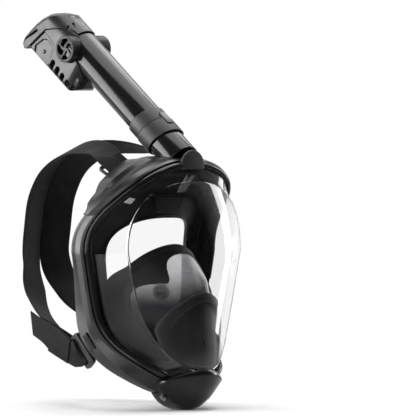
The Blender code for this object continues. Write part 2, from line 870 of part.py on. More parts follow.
def make_nose_seal(kit):
    rim = pocket_rim()
    away = outward(rim)
    first = [p + n * 0.0004 + Vector((0.0, 0.0006, 0.0)) for p, n in zip(rim, away)]
    loops = [first]
    for share, lift in ((0.35, 0.25), (0.75, 0.65), (1.0, 1.0)):
        loops.append(
            [
                p + n * (SEAL_FLARE * share) + Vector((0.0, 0.0006 + SEAL_DEPTH * lift, 0.0))
                for p, n in zip(rim, away)
            ]
        )
    loops.append(
        [p + n * (SEAL_FLARE * 0.7) + Vector((0.0, SEAL_DEPTH * 1.5, 0.0)) for p, n in zip(rim, away)]
    )
    bm = loft(loops, facing=Vector((0.0, -1.0, 0.0)))
    seal = add_object(kit, "nose_seal", bm, kit.rubber)
    solidify(seal, SEAL_WALL)


def make_mouth_cover(kit, ring):
    rim = egg(
        COVER_HALF_WIDTH,
        COVER_RISE,
        COVER_WIDEST_Z - COVER_LOW_Z,
        COVER_WIDEST_Z,
        0.12,
        (1.7, 5.0),
        (0.0, 0.0, 0.0),
        (2.0, 2.0),
        POCKET_STEPS,
    )
    centre = Vector((0.0, COVER_FRONT_Y, COVER_WIDEST_Z))

    def depth(_rim, _share, x, z):
        own = COVER_FRONT_Y + COVER_SWEEP * (x / COVER_HALF_WIDTH) ** 2
        return max(own, lens_depth(ring, x, z) + LENS_WALL + COVER_CLEAR * 0.5)

    loops = polar(rim, centre, (1.0, 0.8, 0.55, 0.3), depth)
    bm = loft(loops, tip=centre, facing=Vector((0.0, -1.0, 0.0)))
    cover = add_object(kit, "mouth_cover", bm, kit.gloss)
    solidify(cover, COVER_WALL)


def make_air_guide(kit, ring):
    top = ring.points[0].lerp(ring.crease[0], 0.45)
    lean = math.radians(50.0)
    turn = Matrix.Translation(top + Vector((0.0, 0.0027, -0.0012))) @ Matrix.Rotation(-lean, 4, "X")
    bm = soft_box(
        (-GUIDE_WIDTH / 2, 0.0, -GUIDE_THICK / 2),
        (GUIDE_WIDTH / 2, GUIDE_LENGTH, GUIDE_THICK / 2),
        0.0005,
        1,
    )
    add_object(kit, "air_guide", bm, kit.clear, turn)


def mask_clearance(kit, ring):
    """Solid inside the outside of the lens and both frames, grown by the gap."""
    loops, centre = lens_loops(ring, GAP * 1.5)
    loops += [
        ring.loop(0.0, -BEZEL_LIP - GAP),
        ring.loop(BEZEL_WIDTH * 0.45 + GAP, -BEZEL_LIP - GAP),
        ring.loop(BEZEL_WIDTH * 0.86 + GAP, -BEZEL_LIP * 0.2 - GAP),
        ring.loop(BEZEL_WIDTH + 1.5 * GAP, BEZEL_DEPTH - 0.001),
        [ring.at(i, ring.band_out(i) + GAP, BEZEL_DEPTH) for i in range(ring.count)],
        [ring.at(i, ring.band_out(i) + GAP, BAND_DEPTH_CHEEK + 0.03) for i in range(ring.count)],
    ]
    bm = loft(loops[::-1], tip=centre)
    edge = [e for e in bm.edges if e.is_boundary]
    bmesh.ops.holes_fill(bm, edges=edge)
    bmesh.ops.recalc_face_normals(bm, faces=bm.faces)
    return add_object(kit, "mask_clearance", bm)


def chin_bottom(share):
    return CHIN_BOTTOM_Z + CHIN_BOTTOM_RISE * abs(share) ** 2.2


def make_chin(kit, ring):
    loops = []
    for share in (-1.0, -0.94, -0.8, -0.6, -0.3, 0.0, 0.3, 0.6, 0.8, 0.94, 1.0):
        x = CHIN_HALF_WIDTH * share
        front = CHIN_FRONT_Y + CHIN_SWEEP * share**2
        top = CHIN_TOP_Z - CHIN_TOP_FALL * share**2
        low = chin_bottom(share)
        rear = CHIN_REAR_Y - 0.008 * share**2
        tall = top - low
        depth = rear - front
        loops.append(
            [
                Vector((x, front + depth * 0.02, top)),
                Vector((x, front, top - tall * 0.12)),
                Vector((x, front + depth * 0.06, top - tall * 0.45)),
                Vector((x, front + depth * 0.22, top - tall * 0.78)),
                Vector((x, front + depth * 0.42, low + tall * 0.01)),
                Vector((x, front + depth * 0.50, low)),
                Vector((x, front + depth * 0.90, low)),
                Vector((x, rear, low + tall * 0.08)),
                Vector((x, rear, top - tall * 0.30)),
                Vector((x, front + depth * 0.5, top)),
            ]
        )
    chin = add_object(kit, "chin_block", loft(loops, caps=True), kit.gloss)
    boolean(chin, mask_clearance(kit, ring))
    well = Matrix.Translation((0.0, PURGE_Y, 0.0))
    bore = PURGE_RADIUS + 0.0005
    hole = cylinder(bore, CHIN_BOTTOM_Z - 0.01, CHIN_BOTTOM_Z + 0.016)
    boolean(chin, add_object(kit, "purge_well", hole, None, well))
    seat_low = CHIN_BOTTOM_Z + 0.0105
    seat = (
        (PURGE_RADIUS + 0.0002, seat_low + 0.003),
        (PURGE_RADIUS + 0.0002, seat_low),
        (PURGE_RADIUS - 0.003, seat_low),
        (PURGE_RADIUS - 0.003, seat_low + 0.003),
    )
    turned(kit, "purge_seat", seat, kit.matt, well, 32)
    flap_top = seat_low - GAP
    flap = cylinder(PURGE_RADIUS - 0.0006, flap_top - FLAP_THICK, flap_top)
    add_object(kit, "purge_flap", flap, kit.rubber, well)
    grille = cylinder(PURGE_RADIUS + 0.0002, CHIN_BOTTOM_Z + 0.0006, CHIN_BOTTOM_Z + 0.0026)
    grille = add_object(kit, "purge_grille", grille, kit.matt, well)
    for k in range(4):
        x = (k - 1.5) * 0.0046
        half = 0.0072 if k in (1, 2) else 0.0050
        slot = box((x - 0.0013, -half, CHIN_BOTTOM_Z - 0.01), (x + 0.0013, half, CHIN_BOTTOM_Z + 0.01))
        boolean(grille, add_object(kit, f"grille_slot_{k}", slot, None, well))


def tube_frame():
    """Tube directions: local X across, local Y to the lower back, local Z up the tube."""
    lean = Vector((0.0, math.sin(TUBE_LEAN), math.cos(TUBE_LEAN)))
    below = Vector((0.0, math.cos(TUBE_LEAN), -math.sin(TUBE_LEAN)))
    return basis(Vector((0.0, AXIS_Y, AXIS_Z)), Vector((1.0, 0.0, 0.0)), below, lean)


def collar_ring(inner, outer, low, high, steps=32):
    """Ring whose ends are cut on the slant of the collar seam."""

    def row(radius, height):
        made = []
        for k in range(steps):
            turn = 2 * math.pi * k / steps
            y = radius * math.sin(turn)
            made.append(Vector((radius * math.cos(turn), y, height + y * math.tan(SEAM_TILT))))
        return made

    ease = 0.0008
    rows = [
        row(inner, low),
        row(outer - ease, low),
        row(outer, low + ease),
        row(outer, high - ease),
        row(outer - ease, high),
        row(inner, high),
    ]
    return loft(rows, along=True)


def make_socket(kit, ring):
    frame = tube_frame()
    bore = SPIGOT_RADIUS + GAP
    stub = turned(
        kit,
        "snorkel_socket",
        (
            (TUBE_RADIUS, STUB_END),
            (TUBE_RADIUS, STUB_START),
            (bore, STUB_START),
            (bore, STUB_END),
        ),
        kit.gloss,
        frame,
    )
    boolean(stub, brow_clearance(kit, ring))
    inner = TUBE_RADIUS + GAP
    outer = COLLAR_RADIUS
    low = collar_ring(inner, outer, COLLAR_LOW, COLLAR_SEAM - GAP)
    low = add_object(kit, "lower_collar", low, kit.matt, frame)
    high = collar_ring(inner, outer - 0.0007, COLLAR_SEAM, COLLAR_HIGH)
    high = add_object(kit, "upper_collar", high, kit.matt, frame)
    seam = COLLAR_SEAM - TUBE_RADIUS * math.tan(SEAM_TILT)
    start = seam - LATCH_LENGTH * 0.62
    end = start + LATCH_LENGTH
    half = LATCH_WIDTH / 2
    face = outer + 0.0006
    latch = soft_box((-half, -face, start), (half, -face + LATCH_THICK, end), 0.0005)
    add_object(kit, "release_latch", latch, kit.matt, frame)
    room = 0.0004
    pocket = box((-half - room, -0.03, start - room), (half + room, -0.012, end + room))
    pocket = add_object(kit, "latch_pocket", pocket, None, frame)
    boolean(low, pocket)
    boolean(high, pocket)


def make_tube(kit):
    frame = tube_frame()
    shoulder = STUB_END + 0.0025
    turned(
        kit,
        "snorkel_tube",
        (
            (TUBE_RADIUS, TUBE_TOP),
            (TUBE_RADIUS, shoulder),
            (SPIGOT_RADIUS, shoulder),
            (SPIGOT_RADIUS, shoulder - SPIGOT_LENGTH),
            (SPIGOT_BORE, shoulder - SPIGOT_LENGTH),
            (SPIGOT_BORE, shoulder + 0.001),
            (TUBE_BORE, shoulder + 0.004),
            (TUBE_BORE, TUBE_TOP),
        ),
        kit.gloss,
        frame,
    )
    turned(
        kit,
        "tube_seal",
        (
            (TUBE_RADIUS - 0.0003, shoulder - GAP),
            (TUBE_RADIUS - 0.0003, STUB_END + GAP),
            (SPIGOT_RADIUS + GAP, STUB_END + GAP),
            (SPIGOT_RADIUS + GAP, shoulder - GAP),
        ),
        kit.rubber,
        frame,
    )


def hood_outline():
    """Side view of the hood, in the tube's lower-back direction and along the tube."""
    points = [(-HOOD_FRONT, HOOD_START)]
    for k in range(7):
        turn = math.pi / 2 * k / 6
        y = -HOOD_FRONT + HOOD_FRONT * (1 - math.cos(turn))
        points.append((y, HOOD_SHOULDER + (HOOD_ROOF - HOOD_SHOULDER) * math.sin(turn)))
    points.append((HOOD_BACK * 0.90, HOOD_END))
    points.append((HOOD_BACK, HOOD_END - HOOD_THICK * 0.3))
    points.append((HOOD_BACK * 0.97, HOOD_END - HOOD_THICK))
    points.append((TUBE_RADIUS * 0.33, HOOD_ROOF - HOOD_THICK))
    points.append((-TUBE_RADIUS * 0.25, HOOD_ROOF - HOOD_THICK * 2))
    points.append((-TUBE_RADIUS * 0.75, HOOD_START + HOOD_THICK))
    points.append((-TUBE_RADIUS * 0.85, HOOD_START))
    return points


def hood_plan(steps=12):
    """Hood seen along the tube: round in front of the tube, straight sides and a rounded back."""
    points = []
    for k in range(steps + 1):
        turn = math.pi * (1 + k / steps)
        points.append((HOOD_FRONT * math.cos(turn), HOOD_FRONT * math.sin(turn)))
    for sign in (1, -1):
        for k in range(5):
            turn = math.pi / 8 * (k if sign > 0 else 4 - k)
            x = HOOD_FRONT - HOOD_CORNER * (1 - math.cos(turn))
            points.append((sign * x, HOOD_BACK + 0.002 - HOOD_CORNER * (1 - math.sin(turn))))
    return points


def pillow(outline, half_width, flat):
    """Outline drawn out across X with its edges rounded over."""
    middle_y = sum(p[0] for p in outline) / len(outline)
    middle_z = sum(p[1] for p in outline) / len(outline)
    lowest = min(p[1] for p in outline)
    rows = []
    for across, share in ((1.0, 0.80), (0.95, 0.90), (0.82, 0.97), (0.62, 1.0)):
        rows.append((across, share))
    rows = [(-a, s) for a, s in rows] + [(a, s) for a, s in reversed(rows)]
    loops = []
    for across, share in rows:
        row = []
        for y, z in outline:
            reach = share if flat else 1.0
            height = z if z == lowest else middle_z + (z - middle_z) * reach
            row.append(Vector((half_width * across, middle_y + (y - middle_y) * share, height)))
        loops.append(row)
    return loft(loops, caps=True)


def make_dry_top(kit):
    frame = tube_frame()
    hood = add_object(
        kit, "dry_top_hood", pillow(hood_outline(), HOOD_HALF_WIDTH, True), kit.matt, frame
    )
    plan = prism(hood_plan(), HOOD_START - 0.02, HOOD_END + 0.02)
    boolean(hood, add_object(kit, "hood_plan", plan, None, frame), "INTERSECT")
    bore = cylinder(TUBE_RADIUS + GAP, HOOD_START - 0.02, TUBE_TOP + GAP)
    boolean(hood, add_object(kit, "hood_bore", bore, None, frame))
    slope = (HOOD_END - HOOD_ROOF) / HOOD_BACK
    under = HOOD_ROOF - HOOD_THICK - GAP * 2
    outline = [
        (TUBE_RADIUS * 0.33, under),
        (TUBE_RADIUS * 0.33, CAGE_START + 0.005),
        (TUBE_RADIUS * 0.75, CAGE_START),
        (CAGE_BACK * 0.76, CAGE_START),
        (CAGE_BACK * 0.92, CAGE_START + 0.005),
        (CAGE_BACK, CAGE_START + 0.014),
        (CAGE_BACK, under + slope * (CAGE_BACK - TUBE_RADIUS * 0.33) - GAP),
    ]
    cage = add_object(kit, "dry_top_cage", pillow(outline, CAGE_HALF_WIDTH, False), kit.matt, frame)
    across = frame @ basis(
        Vector(), Vector((0.0, 1.0, 0.0)), Vector((0.0, 0.0, 1.0)), Vector((1.0, 0.0, 0.0))
    )
    passage = [
        (-TUBE_RADIUS * 0.6, TUBE_TOP - 0.004),
        (-TUBE_RADIUS * 0.5, HOOD_ROOF - HOOD_THICK),
        (TUBE_RADIUS * 0.4, HOOD_ROOF - HOOD_THICK * 0.3),
        (CAGE_BACK - 0.006, HOOD_END - HOOD_THICK * 0.5),
        (CAGE_BACK - 0.006, TUBE_TOP),
        (TUBE_RADIUS * 0.4, TUBE_TOP - 0.004),
    ]
    half = HOOD_HALF_WIDTH * 0.55
    passage = add_object(kit, "hood_passage", prism(passage, -half, half), None, across)
    boolean(hood, passage)
    boolean(cage, passage)
    clear = cylinder(TUBE_RADIUS + GAP, CAGE_START - 0.02, HOOD_END)
    boolean(cage, add_object(kit, "cage_bore", clear, None, frame))
    duct = box(
        (-CAGE_HALF_WIDTH * 0.62, TUBE_RADIUS + 0.0022, CAGE_START + 0.0062),
        (CAGE_HALF_WIDTH * 0.62, CAGE_BACK - 0.0030, TUBE_TOP + 0.002),
    )
    boolean(cage, add_object(kit, "cage_duct", duct, None, frame))
    for k in range(CAGE_SLOTS):
        low = CAGE_START + 0.0095 + CAGE_PITCH * k
        slot = box((-0.03, CAGE_BACK - 0.009, low), (0.03, CAGE_BACK + 0.01, low + CAGE_SLOT))
        boolean(cage, add_object(kit, f"cage_slot_{k}", slot, None, frame))
    make_floats(kit, hood, cage)


def make_floats(kit, hood, cage):
    frame = tube_frame()
    for side, word in ((-1, "right"), (1, "left")):
        outward_x = Vector((float(side), 0.0, 0.0))
        turn = frame @ basis(
            Vector((0.0, 0.0, FLOAT_AT)),
            Vector((0.0, float(side), 0.0)),
            Vector((0.0, 0.0, 1.0)),
            outward_x,
        )
        room = cylinder(HOUSING_RADIUS + GAP, TUBE_RADIUS * 0.11, TUBE_RADIUS * 3, 40)
        room = add_object(kit, f"housing_room_{word}", room, None, turn)
        boolean(hood, room)
        boolean(cage, room)
        reach = HOUSING_REACH
        inner = HOUSING_RADIUS - HOUSING_WALL
        housing = turned(
            kit,
            f"float_housing_{word}",
            (
                (0.0, reach),
                (HOUSING_RADIUS - 0.0012, reach),
                (HOUSING_RADIUS, reach - 0.0012),
                (HOUSING_RADIUS, 0.006),
                (inner, 0.006),
                (inner, reach - HOUSING_WALL),
                (0.0, reach - HOUSING_WALL),
            ),
            kit.matt,
            turn,
            28,
        )
        bore = cylinder(TUBE_RADIUS + GAP, FLOAT_AT - 0.04, FLOAT_AT + 0.04)
        boolean(housing, add_object(kit, f"housing_bore_{word}", bore, None, frame))
        for k in range(4):
            cut = prism(swirl(0.07 + k * math.pi / 2, side), reach - 0.006, reach + 0.006)
            boolean(housing, add_object(kit, f"swirl_{word}_{k}", cut, None, turn))
        low = inner - GAP - FLOAT_RADIUS
        at = turn @ Matrix.Translation((0.0, -low, reach - HOUSING_WALL - GAP))
        body = cylinder(FLOAT_RADIUS, -FLOAT_THICK, 0.0, 28)
        add_object(kit, f"float_{word}", body, kit.gloss, at)


def swirl(start, side, steps=4):
    """Comma-shaped window between the hub and the rim of a float housing."""
    hub = HOUSING_RADIUS * 0.30
    rim = HOUSING_RADIUS * 0.76
    outer = []
    inner = []
    for k in range(steps + 1):
        share = k / steps
        turn = start + side * math.radians(72.0) * share
        reach = hub + (rim - hub) * (0.25 + 0.75 * share)
        outer.append((reach * math.cos(turn), reach * math.sin(turn)))
        reach = hub + (rim - hub) * 0.55 * share**2
        inner.append((reach * math.cos(turn), reach * math.sin(turn)))
    return outer + inner[::-1]


def head_normal(point):
    away = point - HEAD_CENTRE
    return Vector([a / (r * r) for a, r in zip(away, HEAD_RADII)]).normalized()


def smooth_path(points, steps):
    """Catmull-Rom run through a few points."""
    ends = [points[0] * 2 - points[1]] + points + [points[-1] * 2 - points[-2]]
    made = []
    for a, b, c, d in zip(ends, ends[1:], ends[2:], ends[3:]):
        for k in range(steps):
            t = k / steps
            made.append(
                0.5
                * (
                    2 * b
                    + (c - a) * t
                    + (2 * a - 5 * b + 4 * c - d) * t * t
                    + (3 * b - a - 3 * c + d) * t**3
                )
            )
    made.append(points[-1].copy())
    return made


def ribbon(path, normals, widths, thickness):
    """Flat band along a path, its faces on the given normals."""
    loops = []
    for i, point in enumerate(path):
        ahead = path[min(i + 1, len(path) - 1)] - path[max(i - 1, 0)]
        normal = normals[i]
        across = ahead.cross(normal).normalized()
        normal = across.cross(ahead).normalized()
        half = across * (widths[i] / 2)
        rise = normal * (thickness / 2)
        loops.append([point - half - rise, point + half - rise, point + half + rise, point - half + rise])
    return loft(loops, caps=True)


def loop_frame(ring, side):
    """Upper strap loop at the rear of the brow cover: local X along it, local Y through it."""
    station = min(range(TOP_STEPS), key=lambda i: abs(ring.points[i].x - LOOP_X))
    out = brow_rear_out(ring, station) + BROW_WALL * 0.3
    edge = ring.at(station, out, brow_rear(ring, station))
    ahead = ring.points[station + 1] - ring.points[station - 1]
    along = Vector((ahead.x, 0.0, ahead.z)).normalized()
    rise = Vector((0.0, 0.80, 0.60))
    rise = (rise - along * rise.dot(along)).normalized()
    edge.x *= side
    along.x *= side
    rise.x *= side
    if side < 0:
        along.negate()
    middle = edge + rise * (LOOP_DEPTH / 2 + 0.0014)
    return basis(middle, along, rise, along.cross(rise))


def clip_frame(ring, side):
    """Lower clip behind the cheek: local X along the frame edge, Y outwards, Z to the rear."""
    i = TOP_STEPS + CLIP_STATION

    def edge(j):
        return ring.at(j, ring.band_out(j), ring.band_depth(j))

    middle = edge(i)
    along = (edge(i + 1) - edge(i - 1)).normalized()
    out = ring.out[i].copy()
    out = (out - along * out.dot(along)).normalized()
    rear = along.cross(out)
    if rear.y < 0:
        rear.negate()
    for axis in (middle, along, out, rear):
        axis.x *= side
    if along.cross(out).dot(rear) < 0:
        along.negate()
    return basis(middle, along, out, rear)


def make_clip(kit, ring, side, word):
    frame = clip_frame(ring, side)
    half = CLIP_LENGTH / 2
    middle = CLIP_DEPTH / 2 + GAP * 1.5
    turn = frame @ Matrix.Translation((0.0, -CLIP_THICK * 0.3, middle))
    turn = turn @ Matrix.Rotation(-math.pi / 2, 4, "X")
    outer = rounded_rectangle(half, CLIP_DEPTH / 2, CLIP_CORNER)
    shift = CLIP_DEPTH / 2 - CLIP_BAR - CLIP_SLOT / 2
    inner = rounded_rectangle(half - CLIP_BAR, CLIP_SLOT / 2, CLIP_CORNER / 3)
    inner = [(x, y - shift) for x, y in inner]
    bm = plate_ring(outer, inner, -CLIP_THICK / 2, CLIP_THICK / 2)
    add_object(kit, f"lower_clip_{word}", bm, kit.matt, turn)
    room = 0.0004
    low = (-WINDOW_LENGTH / 2 + room, -BAND_WALL * 1.0, -0.004 - WINDOW_DEPTH + room)
    high = (WINDOW_LENGTH / 2 - room, -0.0002, -0.004 - room)
    add_object(kit, f"clip_button_{word}", soft_box(low, high, 0.0005), kit.matt, frame)


def make_strap(kit, ring, side, word):
    loop = loop_frame(ring, side)
    clip = clip_frame(ring, side)
    outer = rounded_rectangle(STRAP_TOP_WIDTH / 2 + 0.001 + LOOP_BAR, LOOP_DEPTH / 2, 0.003)
    inner = rounded_rectangle(STRAP_TOP_WIDTH / 2 + 0.001, LOOP_DEPTH / 2 - LOOP_BAR, 0.001)
    bm = plate_ring(outer, inner, -LOOP_BAR / 2, LOOP_BAR / 2)
    add_object(kit, f"upper_loop_{word}", bm, kit.matt, loop)

    up = loop.col[2].xyz
    if up.z < 0:
        up = -up
    rise = loop.col[1].xyz
    through = loop.translation + rise * 0.0012
    lift = LOOP_BAR / 2 + STRAP_THICK / 2 + GAP * 3
    start = [
        through - up * 0.002,
        through + up * (lift * 0.4),
        through + up * lift + rise * 0.0022,
        through + up * (lift + 0.0012) + rise * 0.0085,
    ]
    back = STRAP_BACK_Y
    top = STRAP_TOP_Z
    x = STRAP_WIDTH / 2 + GAP * 0.7
    tail_at = clip @ Vector((0.0, -CLIP_THICK * 1.1, CLIP_DEPTH + 0.0025))
    wide = STRAP_WIDTH
    cheek = Vector((side * (x + wide * 1.118), back * 0.60, top * -0.529))
    body = [
        start[-1],
        Vector((side * wide * 0.971, back * 0.30, top)),
        Vector((side * wide * 0.794, back * 0.58, top)),
        Vector((side * wide * 0.603, back * 0.82, top * 0.83)),
        Vector((side * x, back * 0.935, top * 0.58)),
        Vector((side * x, back * 0.985, top * 0.30)),
        Vector((side * x, back, top * 0.06)),
        Vector((side * (x + wide * 0.176), back * 0.955, top * -0.149)),
        Vector((side * (x + wide * 0.588), back * 0.82, top * -0.347)),
        cheek,
        tail_at.lerp(cheek, 0.32),
        tail_at,
    ]
    path = start[:-1] + smooth_path(body, 4)
    widths = []
    for p in path:
        share = min(1.0, max(0.0, (p.y - back * 0.30) / (back * 0.45)))
        narrow = STRAP_TOP_WIDTH if p.z > 0 else STRAP_LOW_WIDTH
        widths.append(narrow + (STRAP_WIDTH - narrow) * share)
    normals = [rise * -1.0, rise * -0.7 + up * 0.7, up]
    for i, p in enumerate(path[3:]):
        lead = min(1.0, i / 6)
        last = max(0.0, 1.0 - (len(path) - 4 - i) / 8)
        normals.append(up.lerp(head_normal(p), lead).lerp(clip.col[1].xyz, last))
    bm = ribbon(path, normals, widths, STRAP_THICK)
    add_object(kit, f"head_strap_{word}", bm, kit.fabric)

    out = clip.col[1].xyz
    rear = clip.col[2].xyz
    slot = clip @ Vector((0.0, -CLIP_THICK * 0.3, CLIP_DEPTH + GAP * 1.5 - CLIP_BAR - CLIP_SLOT / 2))
    lift = CLIP_THICK / 2 + STRAP_THICK / 2 + GAP * 3
    away = Vector((side * -0.02, 0.92, 0.46)).normalized()
    first = slot + out * (lift + 0.0008) + rear * (CLIP_BAR + 0.009)
    path = [
        slot - out * 0.002,
        slot + out * (lift * 0.5),
        slot + out * lift + rear * 0.0022,
        first,
        first + away * (TAIL_LENGTH * 0.5),
        first + away * TAIL_LENGTH,
    ]
    normals = [rear * -1.0, out - rear, out, out, out, out]
    widths = [STRAP_LOW_WIDTH] * len(path)
    bm = ribbon(path, normals, widths, STRAP_THICK)
    add_object(kit, f"strap_tail_{word}", bm, kit.fabric)


def make_chin_screws(kit):
    for side, word in ((-1, "right"), (1, "left")):
        share = SCREW_X / CHIN_HALF_WIDTH
        low = chin_bottom(share)
        slope = (chin_bottom(share + 0.09) - chin_bottom(share - 0.09)) / (0.18 * CHIN_HALF_WIDTH)
        away = Vector((side * slope, 0.0, -1.0)).normalized()
        at = Vector((side * SCREW_X, SCREW_Y, low)) + away * 0.0006
        across = Vector((0.0, 1.0, 0.0))
        turn = basis(at, across, away.cross(across), away)
        head = add_object(
            kit, f"chin_screw_{word}", cylinder(SCREW_RADIUS, 0.0, 0.0026, 24), kit.steel, turn
        )
        hexagon = [
            (0.0018 * math.cos(math.pi / 3 * k), 0.0018 * math.sin(math.pi / 3 * k)) for k in range(6)
        ]
        drive = add_object(
            kit, f"screw_drive_{word}", prism(hexagon, 0.0010, 0.006), None, turn
        )
        boolean(head, drive)


def main():
    kit = Kit()
    ring = Ring()
    make_lens(kit, ring)
    make_front_frame(kit, ring)
    make_side_frame(kit, ring)
    make_brow_cover(kit, ring)
    make_face_skirt(kit, ring)
    make_pocket(kit)
    make_nose_seal(kit)
    make_mouth_cover(kit, ring)
    make_air_guide(kit, ring)
    make_chin(kit, ring)
    make_chin_screws(kit)
    make_socket(kit, ring)
    make_tube(kit)
    make_dry_top(kit)
    for side, word in ((-1, "right"), (1, "left")):
        make_clip(kit, ring, side, word)
        make_strap(kit, ring, side, word)
    bpy.context.view_layer.update()


main()
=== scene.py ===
"""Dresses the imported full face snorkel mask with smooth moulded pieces, finishes and a plain studio."""

from __future__ import annotations

import json
import logging
import math
from dataclasses import dataclass, field, replace
from enum import Enum
from typing import Callable, Sequence

import bmesh
import bpy
from mathutils import Matrix, Vector


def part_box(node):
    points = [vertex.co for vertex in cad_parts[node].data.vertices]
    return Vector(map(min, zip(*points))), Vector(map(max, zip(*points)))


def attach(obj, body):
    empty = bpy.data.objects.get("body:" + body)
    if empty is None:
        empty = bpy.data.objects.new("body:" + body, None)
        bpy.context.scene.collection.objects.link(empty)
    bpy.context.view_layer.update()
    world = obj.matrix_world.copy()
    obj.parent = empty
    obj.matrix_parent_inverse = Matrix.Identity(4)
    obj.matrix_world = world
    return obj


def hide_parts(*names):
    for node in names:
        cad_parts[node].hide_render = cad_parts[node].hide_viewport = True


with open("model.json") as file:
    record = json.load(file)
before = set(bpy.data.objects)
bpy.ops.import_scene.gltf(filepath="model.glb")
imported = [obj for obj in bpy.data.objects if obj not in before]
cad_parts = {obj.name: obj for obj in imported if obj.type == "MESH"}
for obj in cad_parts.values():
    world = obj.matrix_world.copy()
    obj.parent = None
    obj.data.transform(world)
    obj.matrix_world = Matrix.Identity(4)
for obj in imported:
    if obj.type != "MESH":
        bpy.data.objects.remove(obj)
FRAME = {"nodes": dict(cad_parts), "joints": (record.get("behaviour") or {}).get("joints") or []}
LOG = logging.getLogger("mask_scene")
Section = Callable[[float], Sequence[Vector]]
Pair = tuple[float, float]
Triple = tuple[float, float, float]

# Stations of an EggLine: at its widest place, at its bottom and once round it.
WIDEST, LOWEST, STATIONS = 12, 28, 56
# Steps round the large pieces of the mask, round the pocket and round a body that only cuts.
BODY_STEPS, POCKET_STEPS, CUTTER_STEPS = 224, 168, 112
# Points of a loft and of a turned body that are closer than this become one, in metres.
LOFT_WELD, TURN_WELD = 2e-6, 1e-6
# The part of the mottle's range that is spread over a finish's own range.
MOTTLE: Pair = (0.3, 0.7)


class Side(Enum):
    """The wearer's two sides, with the sign of X on each."""

    RIGHT = -1
    LEFT = 1

    @property
    def word(self) -> str:
        """The ending that the side's nodes and bodies carry."""
        return self.name.lower()


class Slot(Enum):
    """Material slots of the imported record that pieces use."""

    GLOSS = "gloss_black"
    MATT = "matt_grey"
    SILICONE = "silicone_black"
    ELASTIC = "elastic_black"
    CLEAR = "clear_plastic"
    CLEAR_SOFT = "clear_silicone"


class Cut(Enum):
    """What a tool does to the piece that it meets."""

    AWAY = "DIFFERENCE"
    JOIN = "UNION"
    KEEP = "INTERSECT"


def clamp(value: float, low: float = 0.0, high: float = 1.0) -> float:
    """Holds a value between two limits."""
    return max(low, min(high, value))


def ease(share: float) -> float:
    """A smooth step from 0 to 1."""
    share = clamp(share)
    return share * share * (3.0 - 2.0 * share)


def arc(a: Vector, corner: Vector, b: Vector, t: float) -> Vector:
    """A point at share t of the curve from a to b that a corner draws towards itself."""
    return a * (1 - t) ** 2 + corner * 2 * t * (1 - t) + b * t * t


def hump(at: float, middle: float, width: float) -> float:
    """A smooth bell of height 1 about a middle."""
    return math.exp(-(((at - middle) / width) ** 2))


def wave(knots: Sequence[Pair], at: float) -> float:
    """A smooth line through knots.

    Args:
        knots: Places and values, in rising order of place.
        at: The place asked for.

    Returns:
        The value there, with a level tangent at each knot.
    """
    for (a, low), (b, high) in zip(knots, knots[1:]):
        if at <= b:
            return low + (high - low) * (1.0 - math.cos(math.pi * clamp((at - a) / (b - a)))) / 2.0
    return knots[-1][1]


def rounded(outline: Sequence[Pair], radius: float, steps: int = 4, closed: bool = True) -> list[Pair]:
    """Rounds the corners of a flat outline.

    Args:
        outline: The corners in order.
        radius: How far from a corner its rounding starts.
        steps: Points on each rounding.
        closed: Whether the last corner joins the first, whose point is then repeated at the end.

    Returns:
        The rounded outline.
    """
    flat = [Vector(p) for p in outline]
    out: list[Pair] = []
    for k, corner in enumerate(flat):
        if not closed and k in (0, len(flat) - 1):
            out.append(tuple(corner))
            continue
        before, after = flat[k - 1] - corner, flat[(k + 1) % len(flat)] - corner
        a = corner + before * min(0.48, radius / max(before.length, 1e-9))
        b = corner + after * min(0.48, radius / max(after.length, 1e-9))
        out += [tuple(arc(a, corner, b, n / steps)) for n in range(steps + 1)]
    return out + out[:1] if closed else out


def smooth_path(points: Sequence[Vector], steps: int) -> list[Vector]:
    """A Catmull-Rom line through points.

    Args:
        points: The points it passes.
        steps: Steps between two of them.

    Returns:
        The points of the line.
    """
    line: list[Vector] = []
    for k in range(len(points) - 1):
        a, b, c, d = (points[clamp(k + n, 0, len(points) - 1)] for n in (-1, 0, 1, 2))
        for n in range(steps):
            t = n / steps
            square, cube = (2 * a - 5 * b + 4 * c - d) * t * t, (3 * b - a - 3 * c + d) * t**3
            line.append(0.5 * (2 * b + (c - a) * t + square + cube))
    return line + [points[-1].copy()]


def loft(section: Section, columns: int, caps: bool = False) -> bmesh.types.BMesh:
    """Lays a welded grid over a row of sections.

    Args:
        section: Gives the points of the section at a share from 0 to 1.
        columns: Steps along the row.
        caps: Whether open ends are filled.

    Returns:
        The mesh, with its grid as UV map and its faces outwards.
    """
    sections = [section(c / columns) for c in range(columns + 1)]
    rows = len(sections[0]) - 1
    bm = bmesh.new()
    bm.loops.layers.uv.new("UVMap")
    bmesh.ops.create_grid(bm, x_segments=columns, y_segments=rows, size=0.5, calc_uvs=True)
    half = max(v.co.x for v in bm.verts)
    for v in bm.verts:
        column = round((v.co.x / half + 1) / 2 * columns)
        row = round((v.co.y / half + 1) / 2 * rows)
        v.co = sections[column][row]
    bmesh.ops.remove_doubles(bm, verts=bm.verts, dist=LOFT_WELD)
    if caps:
        bmesh.ops.holes_fill(bm, edges=[e for e in bm.edges if e.is_boundary], sides=0)
    bmesh.ops.recalc_face_normals(bm, faces=bm.faces)
    return bm


def hoop(section: Section, steps: int = BODY_STEPS) -> bmesh.types.BMesh:
    """A loft once round the mask, from the section at each station."""
    return loft(lambda u: section(u * STATIONS), steps)


def face_away(bm: bmesh.types.BMesh, centre: Sequence[float]) -> bmesh.types.BMesh:
    """Turns an open shell's faces away from a point inside it."""
    inside = Vector(centre)
    bm.normal_update()
    if sum(f.normal.dot(f.calc_center_median() - inside) * f.calc_area() for f in bm.faces) < 0:
        bmesh.ops.reverse_faces(bm, faces=bm.faces)
    return bm


